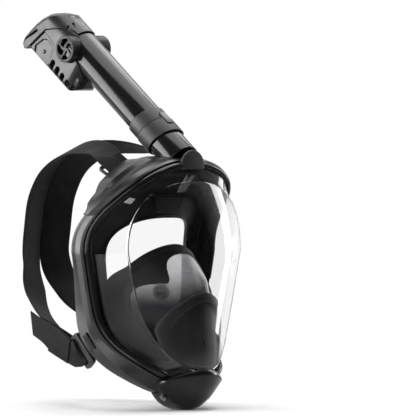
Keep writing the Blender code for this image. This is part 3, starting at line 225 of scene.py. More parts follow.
def turned(profile: Sequence[Pair], steps: int = 96, closed: bool = True) -> bmesh.types.BMesh:
    """Spins a profile round the Z axis.

    Args:
        profile: Radius and height of each point.
        steps: Steps of a full turn.
        closed: Whether the last point joins the first.

    Returns:
        The turned mesh, faces outwards.
    """
    bm = bmesh.new()
    verts = [bm.verts.new((r, 0.0, z)) for r, z in profile]
    pairs = list(zip(verts, verts[1:])) + ([(verts[-1], verts[0])] if closed else [])
    edges = [bm.edges.new(pair) for pair in pairs]
    bmesh.ops.spin(
        bm, geom=verts + edges, cent=(0, 0, 0), axis=(0, 0, 1), angle=math.tau, steps=steps, use_merge=True
    )
    bmesh.ops.remove_doubles(bm, verts=bm.verts, dist=TURN_WELD)
    bmesh.ops.recalc_face_normals(bm, faces=bm.faces)
    return bm


def rod(
    radius: float, low: float, high: float, matrix: Matrix | None = None, steps: int = 96
) -> bmesh.types.BMesh:
    """A closed round rod along Z, to cut with.

    Args:
        radius: Its radius.
        low: Height of its foot.
        high: Height of its top.
        matrix: Where it stands, if not at the origin.
        steps: Steps of a full turn.

    Returns:
        The rod.
    """
    bm = turned([(0, low), (radius, low), (radius, high), (0, high)], steps, closed=False)
    if matrix is not None:
        bmesh.ops.transform(bm, matrix=matrix, verts=bm.verts)
    return bm


def prism(
    outline: Sequence[Pair], low: float, high: float, matrix: Matrix | None = None
) -> bmesh.types.BMesh:
    """Extrudes a flat outline along Z.

    Args:
        outline: The corners in order, without a repeated end.
        low: Height of the foot.
        high: Height of the top.
        matrix: Where it stands, if not at the origin.

    Returns:
        The closed prism.
    """
    bm = bmesh.new()
    face = bm.faces.new([bm.verts.new((x, y, low)) for x, y in outline])
    made = bmesh.ops.extrude_face_region(bm, geom=[face])["geom"]
    bmesh.ops.translate(
        bm, verts=[v for v in made if isinstance(v, bmesh.types.BMVert)], vec=(0, 0, high - low)
    )
    bmesh.ops.recalc_face_normals(bm, faces=bm.faces)
    if matrix is not None:
        bmesh.ops.transform(bm, matrix=matrix, verts=bm.verts)
        bmesh.ops.recalc_face_normals(bm, faces=bm.faces)
    return bm


def soft_box(
    low: Sequence[float], high: Sequence[float], radius: float, matrix: Matrix | None = None
) -> bmesh.types.BMesh:
    """A block with rounded edges.

    Args:
        low: Its lowest corner.
        high: Its highest corner.
        radius: The rounding of its edges.
        matrix: Where it stands, if not at the origin.

    Returns:
        The block.
    """
    bm = bmesh.new()
    bmesh.ops.create_cube(bm, size=1.0)
    low, high = Vector(low), Vector(high)
    bmesh.ops.scale(bm, vec=high - low, verts=bm.verts)
    bmesh.ops.translate(bm, vec=(low + high) / 2, verts=bm.verts)
    bmesh.ops.bevel(
        bm, geom=bm.edges[:], offset=radius, affect="EDGES", segments=4, profile=0.5, material=-1
    )
    if matrix is not None:
        bmesh.ops.transform(bm, matrix=matrix, verts=bm.verts)
    bmesh.ops.recalc_face_normals(bm, faces=bm.faces)
    return bm


def basis(origin: Vector, x: Vector, y: Vector, z: Vector) -> Matrix:
    """A matrix from an origin and three axes."""
    return Matrix.Translation(origin) @ Matrix((x, y, z)).transposed().to_4x4()


def solid(bm: bmesh.types.BMesh, name: str) -> bpy.types.Object:
    """Makes an object of a mesh and frees the mesh's builder."""
    mesh = bpy.data.meshes.new(name)
    bm.to_mesh(mesh)
    bm.free()
    obj = bpy.data.objects.new(name, mesh)
    bpy.context.scene.collection.objects.link(obj)
    return obj


def settle(obj: bpy.types.Object) -> bpy.types.Object:
    """Applies an object's modifiers to its mesh."""
    bpy.context.view_layer.update()
    graph = bpy.context.evaluated_depsgraph_get()
    mesh = bpy.data.meshes.new_from_object(obj.evaluated_get(graph))
    old, obj.data = obj.data, mesh
    obj.modifiers.clear()
    bpy.data.meshes.remove(old)
    mesh.name = obj.name
    return obj


def carve(obj: bpy.types.Object, *tools: bmesh.types.BMesh, how: Cut = Cut.AWAY) -> bpy.types.Object:
    """Cuts an object with meshes, one after the other.

    Args:
        obj: The object that is cut.
        tools: Closed meshes, used up here.
        how: What each of them does to the object.

    Returns:
        The same object.
    """
    for tool in tools:
        helper = solid(tool, "tool")
        step = obj.modifiers.new("cut", "BOOLEAN")
        step.operation, step.object, step.solver = how.value, helper, "EXACT"
        settle(obj)
        bpy.data.objects.remove(helper)
    return obj


def thicken(obj: bpy.types.Object, wall: float) -> bpy.types.Object:
    """Gives a sheet its wall, inwards."""
    step = obj.modifiers.new("wall", "SOLIDIFY")
    step.thickness, step.offset = wall, -1.0
    step.use_even_offset, step.use_quality_normals = True, True
    return settle(obj)


def soften(obj: bpy.types.Object, width: float, segments: int = 2, angle: float = 30.0) -> bpy.types.Object:
    """Rounds the edges that are sharper than an angle in degrees."""
    step = obj.modifiers.new("edges", "BEVEL")
    step.width, step.segments, step.limit_method = width, segments, "ANGLE"
    step.angle_limit, step.harden_normals = math.radians(angle), False
    return settle(obj)


def melt(obj: bpy.types.Object, voxel: float, passes: int) -> bpy.types.Object:
    """Remeshes a body and smooths it, so that its edges look moulded.

    Args:
        obj: A closed body.
        voxel: The size of the new faces.
        passes: How often the surface is smoothed.

    Returns:
        The same object.
    """
    step = obj.modifiers.new("body", "REMESH")
    step.mode, step.voxel_size, step.adaptivity = "VOXEL", voxel, 0.0
    again = obj.modifiers.new("smooth", "SMOOTH")
    again.factor, again.iterations = 0.5, passes
    return settle(obj)


def show(
    obj: bpy.types.Object,
    finish: bpy.types.Material,
    body: str,
    slot: Slot,
    nodes: Sequence[str] = (),
    sharp: float = 40.0,
) -> None:
    """Puts a finished piece on its body.

    Args:
        obj: The piece.
        finish: Its material.
        body: The CAD body it rides on.
        slot: The record's slot that its finish belongs to; not used.
        nodes: CAD nodes that it stands for.
        sharp: Edges over this angle in degrees stay sharp.
    """
    obj.data.materials.clear()
    obj.data.materials.append(finish)
    obj.data.shade_smooth()
    obj.data.set_sharp_from_angle(angle=math.radians(sharp))
    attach(obj, body)
    if nodes:
        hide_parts(*nodes)
    LOG.info("%s: %d faces on %s", obj.name, len(obj.data.polygons), body)


class Graph:
    """Short hand for laying out the nodes of one tree."""

    def __init__(self, tree: bpy.types.NodeTree) -> None:
        """Starts on an empty tree."""
        self.tree = tree
        tree.nodes.clear()

    def add(
        self, kind: str, inputs: dict[str | int, object] | None = None, **settings: object
    ) -> bpy.types.Node:
        """Adds a node.

        Args:
            kind: Its type, without the leading ShaderNode.
            inputs: Values or sockets for its inputs, by name or number.
            settings: Its other settings.

        Returns:
            The node.
        """
        node = self.tree.nodes.new(kind if kind.startswith("Node") else "ShaderNode" + kind)
        for name, value in settings.items():
            setattr(node, name, value)
        for key, value in (inputs or {}).items():
            if isinstance(value, bpy.types.NodeSocket):
                self.tree.links.new(value, node.inputs[key])
            else:
                node.inputs[key].default_value = value
        return node

    def math(self, operation: str, a: object, b: object = 0.0) -> bpy.types.NodeSocket:
        """One sum of two values or sockets."""
        return self.add("Math", {0: a, 1: b}, operation=operation).outputs[0]

    def group(self, tree: bpy.types.NodeTree, inputs: dict[str, object]) -> bpy.types.Node:
        """Adds a shared group."""
        return self.add("Group", inputs, node_tree=tree)

    def remap(
        self, value: object, source: Pair, target: Pair = (0.0, 1.0), **settings: object
    ) -> bpy.types.NodeSocket:
        """A value carried from one range to another.

        Args:
            value: The value or socket.
            source: The range that it is read over.
            target: The range that it is spread over.
            settings: Other settings of the node.

        Returns:
            The socket with the result.
        """
        ranges = {"From Min": source[0], "From Max": source[1], "To Min": target[0], "To Max": target[1]}
        return self.add("MapRange", {"Value": value, **ranges}, **settings).outputs[0]

    def blend(self, share: object, a: object, b: object) -> bpy.types.NodeSocket:
        """A colour between two colours or sockets."""
        return self.add("Mix", {0: share, 6: a, 7: b}, data_type="RGBA").outputs[2]

    def coords(self, kind: str) -> tuple[bpy.types.NodeSocket, ...]:
        """The three numbers of a kind of texture place."""
        return tuple(self.add("SeparateXYZ", {0: self.add("TexCoord").outputs[kind]}).outputs)


def new_material(name: str) -> tuple[bpy.types.Material, Graph]:
    """Starts a material with an empty tree."""
    made = bpy.data.materials.new(name)
    made.use_nodes = True
    return made, Graph(made.node_tree)


def new_group(name: str, takes: Sequence[str], gives: Sequence[str]) -> Graph:
    """Starts a shared node group of plain numbers.

    Args:
        name: Its name.
        takes: Names of its inputs.
        gives: Names of its outputs.

    Returns:
        The tree, ready for nodes.
    """
    tree = bpy.data.node_groups.new(name, "ShaderNodeTree")
    for way, labels in (("INPUT", takes), ("OUTPUT", gives)):
        for label in labels:
            tree.interface.new_socket(name=label, in_out=way, socket_type="NodeSocketFloat")
    return Graph(tree)


class SharedEffects:
    """Node groups that several finishes use: moulded grain, worn edges with a painted highlight, and woven
    ribs.
    """

    def __init__(self) -> None:
        """Builds the groups once."""
        self.grain = self._grain()
        self.weave = self._weave()

    @staticmethod
    def _grain() -> bpy.types.NodeTree:
        """Fine moulded grain, broad mottle, and sharp edges lightened by wear and a painted highlight, from
        the piece's own place.
        """
        g = new_group("moulded_grain", ("Fine", "Broad", "Rub"), ("Height", "Mottle", "Worn"))
        taken = g.add("NodeGroupInput").outputs
        place = g.add("TexCoord").outputs["Object"]
        fine = g.add("TexNoise", {"Vector": place, "Scale": taken["Fine"], "Detail": 3.0})
        broad = g.add("TexNoise", {"Vector": place, "Scale": taken["Broad"], "Detail": 4.0})
        streak = g.add("TexNoise", {"Vector": place, "Scale": 900.0, "Detail": 2.0})
        # Sharp edges lighten here: partly wear, partly a painted highlight where rims catch the light.
        edge = g.remap(g.add("NewGeometry").outputs["Pointiness"], (0.52, 0.62))
        worn = g.math("MULTIPLY", edge, g.math("MULTIPLY", streak.outputs[0], taken["Rub"]))
        g.add("NodeGroupOutput", {"Height": fine.outputs[0], "Mottle": broad.outputs[0], "Worn": worn})
        return g.tree

    @staticmethod
    def _weave() -> bpy.types.NodeTree:
        """Ribs of knitted elastic over a strap's own length and width, with painted shade that darkens
        their low parts.
        """
        g = new_group("ribbed_weave", ("Along", "Across"), ("Height", "Shade"))
        taken = g.add("NodeGroupInput").outputs
        u, v, _ = g.coords("UV")
        along = g.math("MULTIPLY", u, taken["Along"])
        across = g.math("MULTIPLY", v, taken["Across"])
        parity = g.math("MODULO", g.math("FLOOR", across), 2.0)
        shifted = g.math("ADD", along, g.math("MULTIPLY", parity, 0.5))
        stitch = g.math("ABSOLUTE", g.math("SINE", g.math("MULTIPLY", shifted, math.pi)))
        rib = g.math("ABSOLUTE", g.math("SINE", g.math("MULTIPLY", across, math.pi)))
        sunk = g.math("ADD", g.math("MULTIPLY", stitch, 0.55), 0.45)
        height = g.math("MULTIPLY", g.math("POWER", rib, 0.6), sunk)
        g.add("NodeGroupOutput", {"Height": height, "Shade": g.math("POWER", height, 0.7)})
        return g.tree


@dataclass(frozen=True)
class Moulded:
    """An opaque moulded finish: plastic, silicone or steel, by its numbers."""

    name: str
    colour: Triple
    shade: Triple
    rough: Pair
    fine: float = 2200.0
    broad: float = 60.0
    height: float = 0.00004
    # How strongly sharp edges lighten, and the colour they go to: wear plus a painted highlight.
    rub: float = 0.5
    worn: Triple = (0.16, 0.16, 0.17)
    coat: float = 0.0
    sheen: float = 0.0
    metal: float = 0.0
    specular: float = 0.5

    def material(self, effects: SharedEffects) -> bpy.types.Material:
        """Makes the material.

        Args:
            effects: The shared node groups.

        Returns:
            A material with grain, mottle, and edges lightened by wear and a painted highlight.
        """
        made, g = new_material(self.name)
        grain = g.group(effects.grain, {"Fine": self.fine, "Broad": self.broad, "Rub": self.rub}).outputs
        base = g.blend(grain["Mottle"], (*self.colour, 1), (*self.shade, 1))
        bump = g.add("Bump", {"Height": grain["Height"], "Distance": self.height, "Strength": 1.0})
        shader = g.add(
            "BsdfPrincipled",
            {
                # Sharp edges go to the lighter edge colour: wear plus a painted highlight.
                "Base Color": g.blend(grain["Worn"], base, (*self.worn, 1)),
                "Roughness": g.remap(grain["Mottle"], MOTTLE, self.rough),
                "Normal": bump.outputs[0],
                "Metallic": self.metal,
                "Coat Weight": self.coat,
                "Coat Roughness": 0.06,
                "Sheen Weight": self.sheen,
                "Sheen Roughness": 0.4,
                "Specular IOR Level": self.specular,
            },
        )
        g.add("OutputMaterial", {"Surface": shader.outputs[0]})
        return made


@dataclass(frozen=True)
class Clear:
    """A see-through finish, hard or soft by its numbers."""

    name: str
    colour: Triple
    rough: Pair
    index: float
    bump: float = 0.00001
    broad: float = 40.0
    coat: float = 0.0
    passing: float = 1.0

    def material(self, effects: SharedEffects) -> bpy.types.Material:
        """Makes the material.

        Args:
            effects: The shared node groups.

        Returns:
            Glass that lets light through to what is behind it.
        """
        made, g = new_material(self.name)
        grain = g.group(effects.grain, {"Fine": 500.0, "Broad": self.broad, "Rub": 0.0}).outputs
        bump = g.add("Bump", {"Height": grain["Mottle"], "Distance": self.bump, "Strength": 0.3})
        shader = g.add(
            "BsdfPrincipled",
            {
                "Base Color": self.tint(g),
                "Roughness": g.remap(grain["Mottle"], (0.35, 0.7), self.rough),
                "Normal": bump.outputs[0],
                "Transmission Weight": self.passing,
                "IOR": self.index,
                "Coat Weight": self.coat,
                "Coat Roughness": 0.01,
            },
        )
        through = g.add("BsdfTransparent", {"Color": (*self.colour, 1)})
        shaded = g.add("LightPath").outputs["Is Shadow Ray"]
        mixed = g.add("MixShader", {0: shaded, 1: shader.outputs[0], 2: through.outputs[0]})
        g.add("OutputMaterial", {"Surface": mixed.outputs[0]})
        return made

    def tint(self, g: Graph) -> object:
        """The colour of its body, plain here."""
        return (*self.colour, 1)


@dataclass(frozen=True)
class Smoky(Clear):
    """See-through silicone that darkens from its top to its foot."""

    dark: Triple = (0.02, 0.02, 0.022)
    heights: Pair = (-0.045, 0.010)

    def tint(self, g: Graph) -> object:
        """The colour of its body, darker towards its foot."""
        share = g.remap(g.coords("Object")[2], self.heights, interpolation_type="SMOOTHSTEP")
        return g.blend(share, (*self.dark, 1), (*self.colour, 1))


@dataclass(frozen=True)
class Woven:
    """Knitted elastic: ribs along the strap, a paler fuzz, and painted shade that darkens the gaps between
    the ribs.
    """

    name: str
    colour: Triple
    # Colour of the gaps between the ribs, darker as painted shade.
    gap: Triple
    along: float
    across: float
    height: float = 0.00006

    def material(self, effects: SharedEffects) -> bpy.types.Material:
        """Makes the material.

        Args:
            effects: The shared node groups.

        Returns:
            Elastic that follows the strap's own map.
        """
        made, g = new_material(self.name)
        weave = g.group(effects.weave, {"Along": self.along, "Across": self.across}).outputs
        grain = g.group(effects.grain, {"Fine": 4000.0, "Broad": 90.0, "Rub": 0.0}).outputs
        # Low parts of the weave take the darker gap colour: painted shade in the recesses.
        base = g.blend(weave["Shade"], (*self.gap, 1), (*self.colour, 1))
        lift = g.remap(grain["Mottle"], MOTTLE, (0.75, 1.25))
        faded = g.add("VectorMath", {0: base, "Scale": lift}, operation="SCALE")
        high = g.math("ADD", weave["Height"], g.math("MULTIPLY", grain["Height"], 0.4))
        bump = g.add("Bump", {"Height": high, "Distance": self.height, "Strength": 0.8})
        shader = g.add(
            "BsdfPrincipled",
            {
                "Base Color": faded.outputs[0],
                "Roughness": g.remap(weave["Shade"], (0.0, 1.0), (0.9, 0.65)),
                "Normal": bump.outputs[0],
                "Sheen Weight": 0.03,
                "Sheen Roughness": 0.5,
                "Specular IOR Level": 0.15,
            },
        )
        g.add("OutputMaterial", {"Surface": shader.outputs[0]})
        return made


class Finishes:
    """Every material of the mask, made once."""

    def __init__(self) -> None:
        """Makes the shared groups and the materials."""
        fx = SharedEffects()
        self.gloss = Moulded(
            "gloss_black_plastic", (0.006, 0.006, 0.007), (0.010, 0.010, 0.011), (0.14, 0.22),
            fine=900.0, height=0.000001, rub=0.25, coat=0.14, specular=0.30,
        ).material(fx)
        self.satin = Moulded(
            "satin_black_plastic", (0.012, 0.012, 0.013), (0.019, 0.019, 0.021), (0.26, 0.38),
            height=0.00001, rub=0.3,
        ).material(fx)
        self.matt = Moulded(
            "matt_grey_plastic", (0.014, 0.014, 0.016), (0.021, 0.021, 0.024), (0.42, 0.56)
        ).material(fx)
        self.silicone = Moulded(
            "black_silicone", (0.006, 0.006, 0.0065), (0.011, 0.011, 0.012), (0.36, 0.52),
            fine=1500.0, height=0.00002, rub=0.0, sheen=0.02, specular=0.3,
        ).material(fx)
        self.steel = Moulded(
            "screw_steel", (0.55, 0.55, 0.56), (0.46, 0.46, 0.47), (0.22, 0.38),
            fine=3000.0, height=0.00001, metal=1.0, rub=0.3, worn=(0.8, 0.8, 0.8),
        ).material(fx)
        lens = Clear("clear_lens", (0.985, 0.985, 0.99), (0.0, 0.010), 1.30, bump=0.000002, coat=0.8)
        self.lens = lens.material(fx)
        self.lens_inside = replace(lens, name="clear_lens_inside", coat=0.0).material(fx)
        self.guide = Clear("clear_strip", (0.96, 0.965, 0.97), (0.02, 0.08), 1.49).material(fx)
        self.soft_clear = Smoky(
            "clear_silicone", (0.78, 0.78, 0.79), (0.05, 0.12), 1.36, bump=0.00002, passing=0.70
        ).material(fx)
        self.elastic = Woven(
            "woven_elastic", (0.013, 0.013, 0.014), (0.006, 0.006, 0.007), along=340.0, across=30.0
        ).material(fx)
        self.tail = Woven(
            "woven_tail", (0.011, 0.011, 0.012), (0.005, 0.005, 0.006), along=76.0, across=26.0
        ).material(fx)


@dataclass
class EggLine:
    """A closed egg-shaped line about X = 0, from the top down the left side and up the right.

    Its stations run from 0 at the top over WIDEST to LOWEST, and on to STATIONS at the top again.
    """

    half_width: float
    rise: float
    drop: float
    widest_z: float
    taper: float
    powers: Pair
    depths: Triple
    wraps: Pair
    fine: int = 16
    half: list[Vector] = field(default_factory=list)
    away: list[Vector] = field(default_factory=list)

    def __post_init__(self) -> None:
        """Works out the points of the left half once, with their outward directions."""
        upper, lower, dense = [], [], 600
        for k in range(dense + 1):
            turn = math.pi / 2 * k / dense
            up, down = math.cos(turn), math.sin(turn)
            out = max(0.0, 1.0 - up ** self.powers[0]) ** (1.0 / self.powers[0])
            y = self.depths[0] + (self.depths[1] - self.depths[0]) * out ** self.wraps[0]
            upper.append(Vector((self.half_width * out, y, self.widest_z + self.rise * up)))
            out = math.sqrt(max(0.0, 1.0 - down ** self.powers[1]))
            y = self.depths[2] + (self.depths[1] - self.depths[2]) * out ** self.wraps[1]
            width = self.half_width * (1.0 - self.taper * down) * out
            lower.append(Vector((width, y, self.widest_z - self.drop * down)))
        self.half = self._even(upper, WIDEST * self.fine)[:-1]
        self.half += self._even(lower, (LOWEST - WIDEST) * self.fine)
        for k, _ in enumerate(self.half):
            a, b = self.half[max(k - 6, 0)], self.half[min(k + 6, len(self.half) - 1)]
            self.away.append(Vector((a.z - b.z, 0.0, b.x - a.x)).normalized())
        self.away[0], self.away[-1] = Vector((0, 0, 1)), Vector((0, 0, -1))

    @staticmethod
    def _even(points: list[Vector], count: int) -> list[Vector]:
        """Spreads points evenly over the length of a line."""
        lengths = [0.0]
        for a, b in zip(points, points[1:]):
            lengths.append(lengths[-1] + (b - a).length)
        out, k = [], 0
        for n in range(count + 1):
            goal = lengths[-1] * n / count
            while k < len(points) - 2 and lengths[k + 1] < goal:
                k += 1
            share = (goal - lengths[k]) / max(lengths[k + 1] - lengths[k], 1e-12)
            out.append(points[k].lerp(points[k + 1], clamp(share)))
        return out

    def _read(self, table: list[Vector], station: float) -> Vector:
        """A table's value at a station, turned over for the right side."""
        station %= STATIONS
        flip = station > LOWEST
        place = (STATIONS - station if flip else station) * self.fine
        k = min(int(place), len(table) - 2)
        found = table[k].lerp(table[k + 1], clamp(place - k))
        return Vector((-found.x, found.y, found.z)) if flip else found

    def at(self, station: float, out: float = 0.0, back: float = 0.0) -> Vector:
        """A point beside the line.

        Args:
            station: Place along the line.
            out: How far outwards.
            back: How far to the rear.

        Returns:
            The point.
        """
        return self._read(self.half, station) + self.outward(station) * out + Vector((0.0, back, 0.0))

    def outward(self, station: float) -> Vector:
        """The direction away from the inside, across the line."""
        return self._read(self.away, station).normalized()

    def beside(self, station: float, profile: Sequence[Pair]) -> list[Vector]:
        """A profile of outward and rearward steps, set on the line at a station."""
        return [self.at(station, out, back) for out, back in profile]

    def facing(self, turn: float, middle: float, steps: int) -> float:
        """The station on the left half that lies at an angle from straight up.

        Args:
            turn: The angle in radians.
            middle: Height of the place that it is seen from.
            steps: How often the range is halved.

        Returns:
            The station.
        """
        low, high = 0.0, float(LOWEST)
        for _ in range(steps):
            mid = (low + high) / 2
            point = self.at(mid)
            low, high = (mid, high) if math.atan2(point.x, point.z - middle) < turn else (low, mid)
        return low


@dataclass
class MaskLines:
    """The lines of the mask body that its pieces share."""

    ring: EggLine = field(
        default_factory=lambda: EggLine(
            0.086, 0.087, 0.133, 0.015, 0.30, (2.3, 7.0), (-0.059, 0.002, -0.059), (5.0, 7.0)
        )
    )
    crease: EggLine = field(
        default_factory=lambda: EggLine(
            0.080, 0.073, 0.125, 0.015, 0.35, (2.3, 4.0), (-0.064, -0.048, -0.080), (2.0, 2.0)
        )
    )
    face: EggLine = field(
        default_factory=lambda: EggLine(
            0.057, 0.045, 0.105, 0.005, 0.18, (2.8, 4.0), (-0.019, 0.015, -0.018), (2.5, 2.5)
        )
    )
    depths: tuple[Pair, ...] = ((0.0, 0.030), (12.0, 0.019), (21.92, 0.034), (28.0, 0.020))
    lens_front: float = -0.088
    lens_centre: float = -0.012
    brow_reach: float = 9.0
    brow_rear: float = 0.0212
    port: Triple = (0.0, -0.039, 0.007)

    @staticmethod
    def fold(station: float) -> float:
        """The station on the left half that a station mirrors."""
        station %= STATIONS
        return min(station, STATIONS - station)

    def band_depth(self, station: float) -> float:
        """How deep the side frame is at a station."""
        return wave(self.depths, self.fold(station))

    def band_out(self, station: float) -> float:
        """How far out the side frame stands at a station, with its swell at the jowl."""
        share = (self.fold(station) - WIDEST) / (LOWEST - WIDEST)
        rise, fall = clamp((share - 0.25) / 0.47), clamp((share - 0.84) / 0.16)
        swell = (1 - math.cos(math.pi * rise)) / 2 * (1 + math.cos(math.pi * fall)) / 2
        return 0.009 + 0.010 * swell

    def brow_edge(self, station: float) -> Triple:
        """The brow shell's rear edge at a station.

        Args:
            station: Place along the ring.

        Returns:
            How far back it lies, how far out it stands, and how far back the shell bends towards it.
        """
        i = self.fold(station)
        depth = self.band_depth(i)
        rear = max(0.005 - self.ring.at(i).y, self.brow_rear)
        dip = 0.009 * math.sin(math.pi * i / 9) ** 2 * clamp((rear - depth - 0.006) / 0.012)
        return rear, 0.0093 - dip, max(0.0163, min(depth + 0.0015, rear - 0.0045))

    def along_brow(self, share: float) -> float:
        """The station at a share of the way along the brow, from its right end to its left."""
        return (2 * share - 1) * self.brow_reach

    def port_plug(self) -> bmesh.types.BMesh:
        """The round air way through the brow."""
        x, y, radius = self.port
        return rod(radius, 0.07, 0.14, Matrix.Translation((x, y, 0)), 48)

    def lens_front_at(self, station: float, share: float) -> Vector:
        """A point of the lens front, from its centre at 0 to the crease at 1."""
        rim = self.crease.at(station)
        y = self.lens_front + (rim.y - self.lens_front) * share * share
        z = self.lens_centre + (rim.z - self.lens_centre) * share
        return Vector((rim.x * share, y, z))

    def lens_depth(self, x: float, z: float) -> float:
        """Y of the lens front at a place seen from ahead."""
        turn = abs(math.atan2(x, z - self.lens_centre))
        rim = self.crease.at(self.crease.facing(turn, self.lens_centre, 40))
        reach = max(math.hypot(rim.x, rim.z - self.lens_centre), 1e-9)
        share = math.hypot(x, z - self.lens_centre) / reach
        return self.lens_front + (rim.y - self.lens_front) * share * share


@dataclass
class LensUnit:
    """The clear one-piece lens and the clear strip under the brow."""

    lines: MaskLines
    finishes: Finishes
    wall: float = 0.0022
    tuck: float = 0.007
    fillet: float = 0.0020
    bead: float = 0.0009

    def section(self, station: float) -> list[Vector]:
        """The outer line of the lens from its tucked edge to its centre."""
        ring, crease = self.lines.ring.at(station), self.lines.crease.at(station)
        down = self.lines.lens_front_at(station, 0.94)
        a = crease + (ring - crease).normalized() * self.fillet
        b = crease + (down - crease).normalized() * self.fillet
        rows = [self.lines.ring.at(station, 0.0, back) for back in (self.tuck, self.tuck / 2)]
        rows += [ring.lerp(a, n / 8) for n in range(9)]
        proud = (crease - (a + b) / 2).normalized() * self.bead
        for t in (0.15, 0.3, 0.4, 0.5, 0.6, 0.7, 0.85, 1.0):
            rows.append(arc(a, crease, b, t) + proud * hump(t, 0.5, 0.2))
        reach = (self.lines.lens_front_at(station, 0.0) - crease).length
        share = 1.0 - self.fillet / max(reach, 1e-6)
        return rows + [self.lines.lens_front_at(station, share * (1 - n / 18)) for n in range(1, 19)]

    def build(self) -> None:
        """Builds and dresses the lens and the clear strip."""
        obj = solid(face_away(hoop(self.section), (0, 0, 0)), "lens_shell")
        outer = len(obj.data.polygons)
        thicken(obj, self.wall)
        show(obj, self.finishes.lens, "mask", Slot.CLEAR, ["lens"], sharp=60)
        obj.data.materials.append(self.finishes.lens_inside)
        for face in obj.data.polygons[outer:]:
            face.material_index = 1
        place = self.lines.ring.at(0).lerp(self.lines.crease.at(0), 0.45) + Vector((0, 0.0027, -0.0012))
        frame = Matrix.Translation(place) @ Matrix.Rotation(math.radians(-50), 4, "X")
        strip = soft_box((-0.0055, 0.0, -0.0008), (0.0055, 0.024, 0.0008), 0.0006, frame)
        show(solid(strip, "clear_strip"), self.finishes.guide, "mask", Slot.CLEAR, ["air_guide"])


@dataclass
class FrameUnit:
    """The rigid frame: gloss bezel with its matt tongue, satin side band and satin brow shell."""

    lines: MaskLines
    finishes: Finishes
    lip: float = 0.0034
    width: float = 0.0070
    depth: float = 0.0117
    start: float = 0.0127
    tongue: Pair = (0.0158, 0.0160)

    def bezel_profile(self) -> list[Pair]:
        """The bezel's rounded cross section."""
        w, lip, d = self.width, self.lip, self.depth
        corners = [(0.0003, -0.85 * lip), (0.45 * w, -lip), (0.86 * w, -0.2 * lip), (w, d), (0.0003, d)]
        return rounded(corners, 0.0014)

    def band_profile(self, station: float) -> list[Pair]:
        """The side band's rounded cross section at a station."""
        s, reach, depth = self.start, self.lines.band_out(station), self.lines.band_depth(station)
        fold = self.lines.fold(station)
        lap = ease((fold - 8.4) / 0.5) * ease((26.2 - fold) / 0.7)
        front = s + (0.0027 - s) * lap
        corners = [
            (0.0005, s), (0.0072, s), (0.0072, front + 0.0004 * lap), (0.0079, front),
            (0.0087, front + 0.0040 * lap), (reach - 0.0009, s + 0.0022), (reach, depth),
            (reach - 0.0025, depth), (reach - 0.0035, s + 0.004), (0.0005, s + 0.0035),
        ]
        return rounded(corners, 0.0006, 3)

    def brow_profile(self, station: float) -> list[Pair]:
        """The brow shell's rounded cross section at a station."""
        rear, end, knee = self.lines.brow_edge(station)
        corners = [
            (0.0073, 0.0025), (0.0073, 0.0117), (0.0093, 0.0157), (0.0093, knee), (end, rear),
            (end + 0.00132, rear), (end + 0.0022, rear - 0.003), (0.0115, knee), (0.0115, 0.0127),
            (0.0095, 0.0050), (0.0077, 0.0025),
        ]
        return rounded(corners, 0.0008, 3)

    def tongue_plate(self) -> bmesh.types.BMesh:
        """The half-round tongue that stands up from the bezel at the brow."""
        half, rise = self.tongue
        turns = [math.pi * n / 36 for n in range(37)]
        outline = [(half * math.cos(t), rise * math.sin(t)) for t in turns]
        outline = [(half, -0.004), *outline, (-half, -0.004)]
        stand = basis(Vector((0, 0, 0.1041)), Vector((1, 0, 0)), Vector((0, 0, 1)), Vector((0, -1, 0)))
        return prism(outline, 0.05846, 0.06246, stand)

    def build(self) -> None:
        """Builds and dresses the bezel, its tongue, the side band and the brow shell."""
        ring, plug = self.lines.ring, self.lines.port_plug
        bezel = solid(hoop(lambda i: ring.beside(i, self.bezel_profile())), "front_bezel")
        plate = soften(solid(self.tongue_plate(), "bezel_tongue"), 0.0011, 4)
        show(bezel, self.finishes.gloss, "mask", Slot.GLOSS, ["front_frame"])
        show(plate, self.finishes.matt, "mask", Slot.GLOSS)
        band = solid(hoop(lambda i: ring.beside(i, self.band_profile(i))), "side_band")
        for side in Side:
            frame = clip_frame(self.lines, side)
            carve(band, soft_box((-0.010, -0.012, -0.0125), (0.010, 0.010, -0.004), 0.0012, frame))
        carve(band, plug())
        show(band, self.finishes.satin, "mask", Slot.MATT, ["side_frame"])

        def section(u: float) -> list[Vector]:
            """The brow shell at a share of its length."""
            station = self.lines.along_brow(u)
            return ring.beside(station, self.brow_profile(station))

        brow = carve(solid(loft(section, 144, caps=True), "brow_shell"), plug())
        show(brow, self.finishes.satin, "mask", Slot.MATT, ["brow_cover"])


def clip_frame(lines: MaskLines, side: Side) -> Matrix:
    """Where a lower strap clip sits: X along the frame's edge, Y outwards and Z to the rear.

    Args:
        lines: The mask's lines.
        side: The wearer's side.

    Returns:
        The clip's own frame.
    """

    def edge(i: float) -> Vector:
        """A point of the band's rear edge."""
        return lines.ring.at(i, lines.band_out(i), lines.band_depth(i))

    along = (edge(21.0) - edge(19.0)).normalized()
    out = lines.ring.outward(20.0)
    out = (out - along * out.dot(along)).normalized()
    rear = along.cross(out)
    if rear.y < 0:
        rear.negate()
    place = edge(20.0)
    for axis in (place, along, out, rear):
        axis.x *= side.value
    if along.cross(out).dot(rear) < 0:
        along.negate()
    return basis(place, along, out, rear)


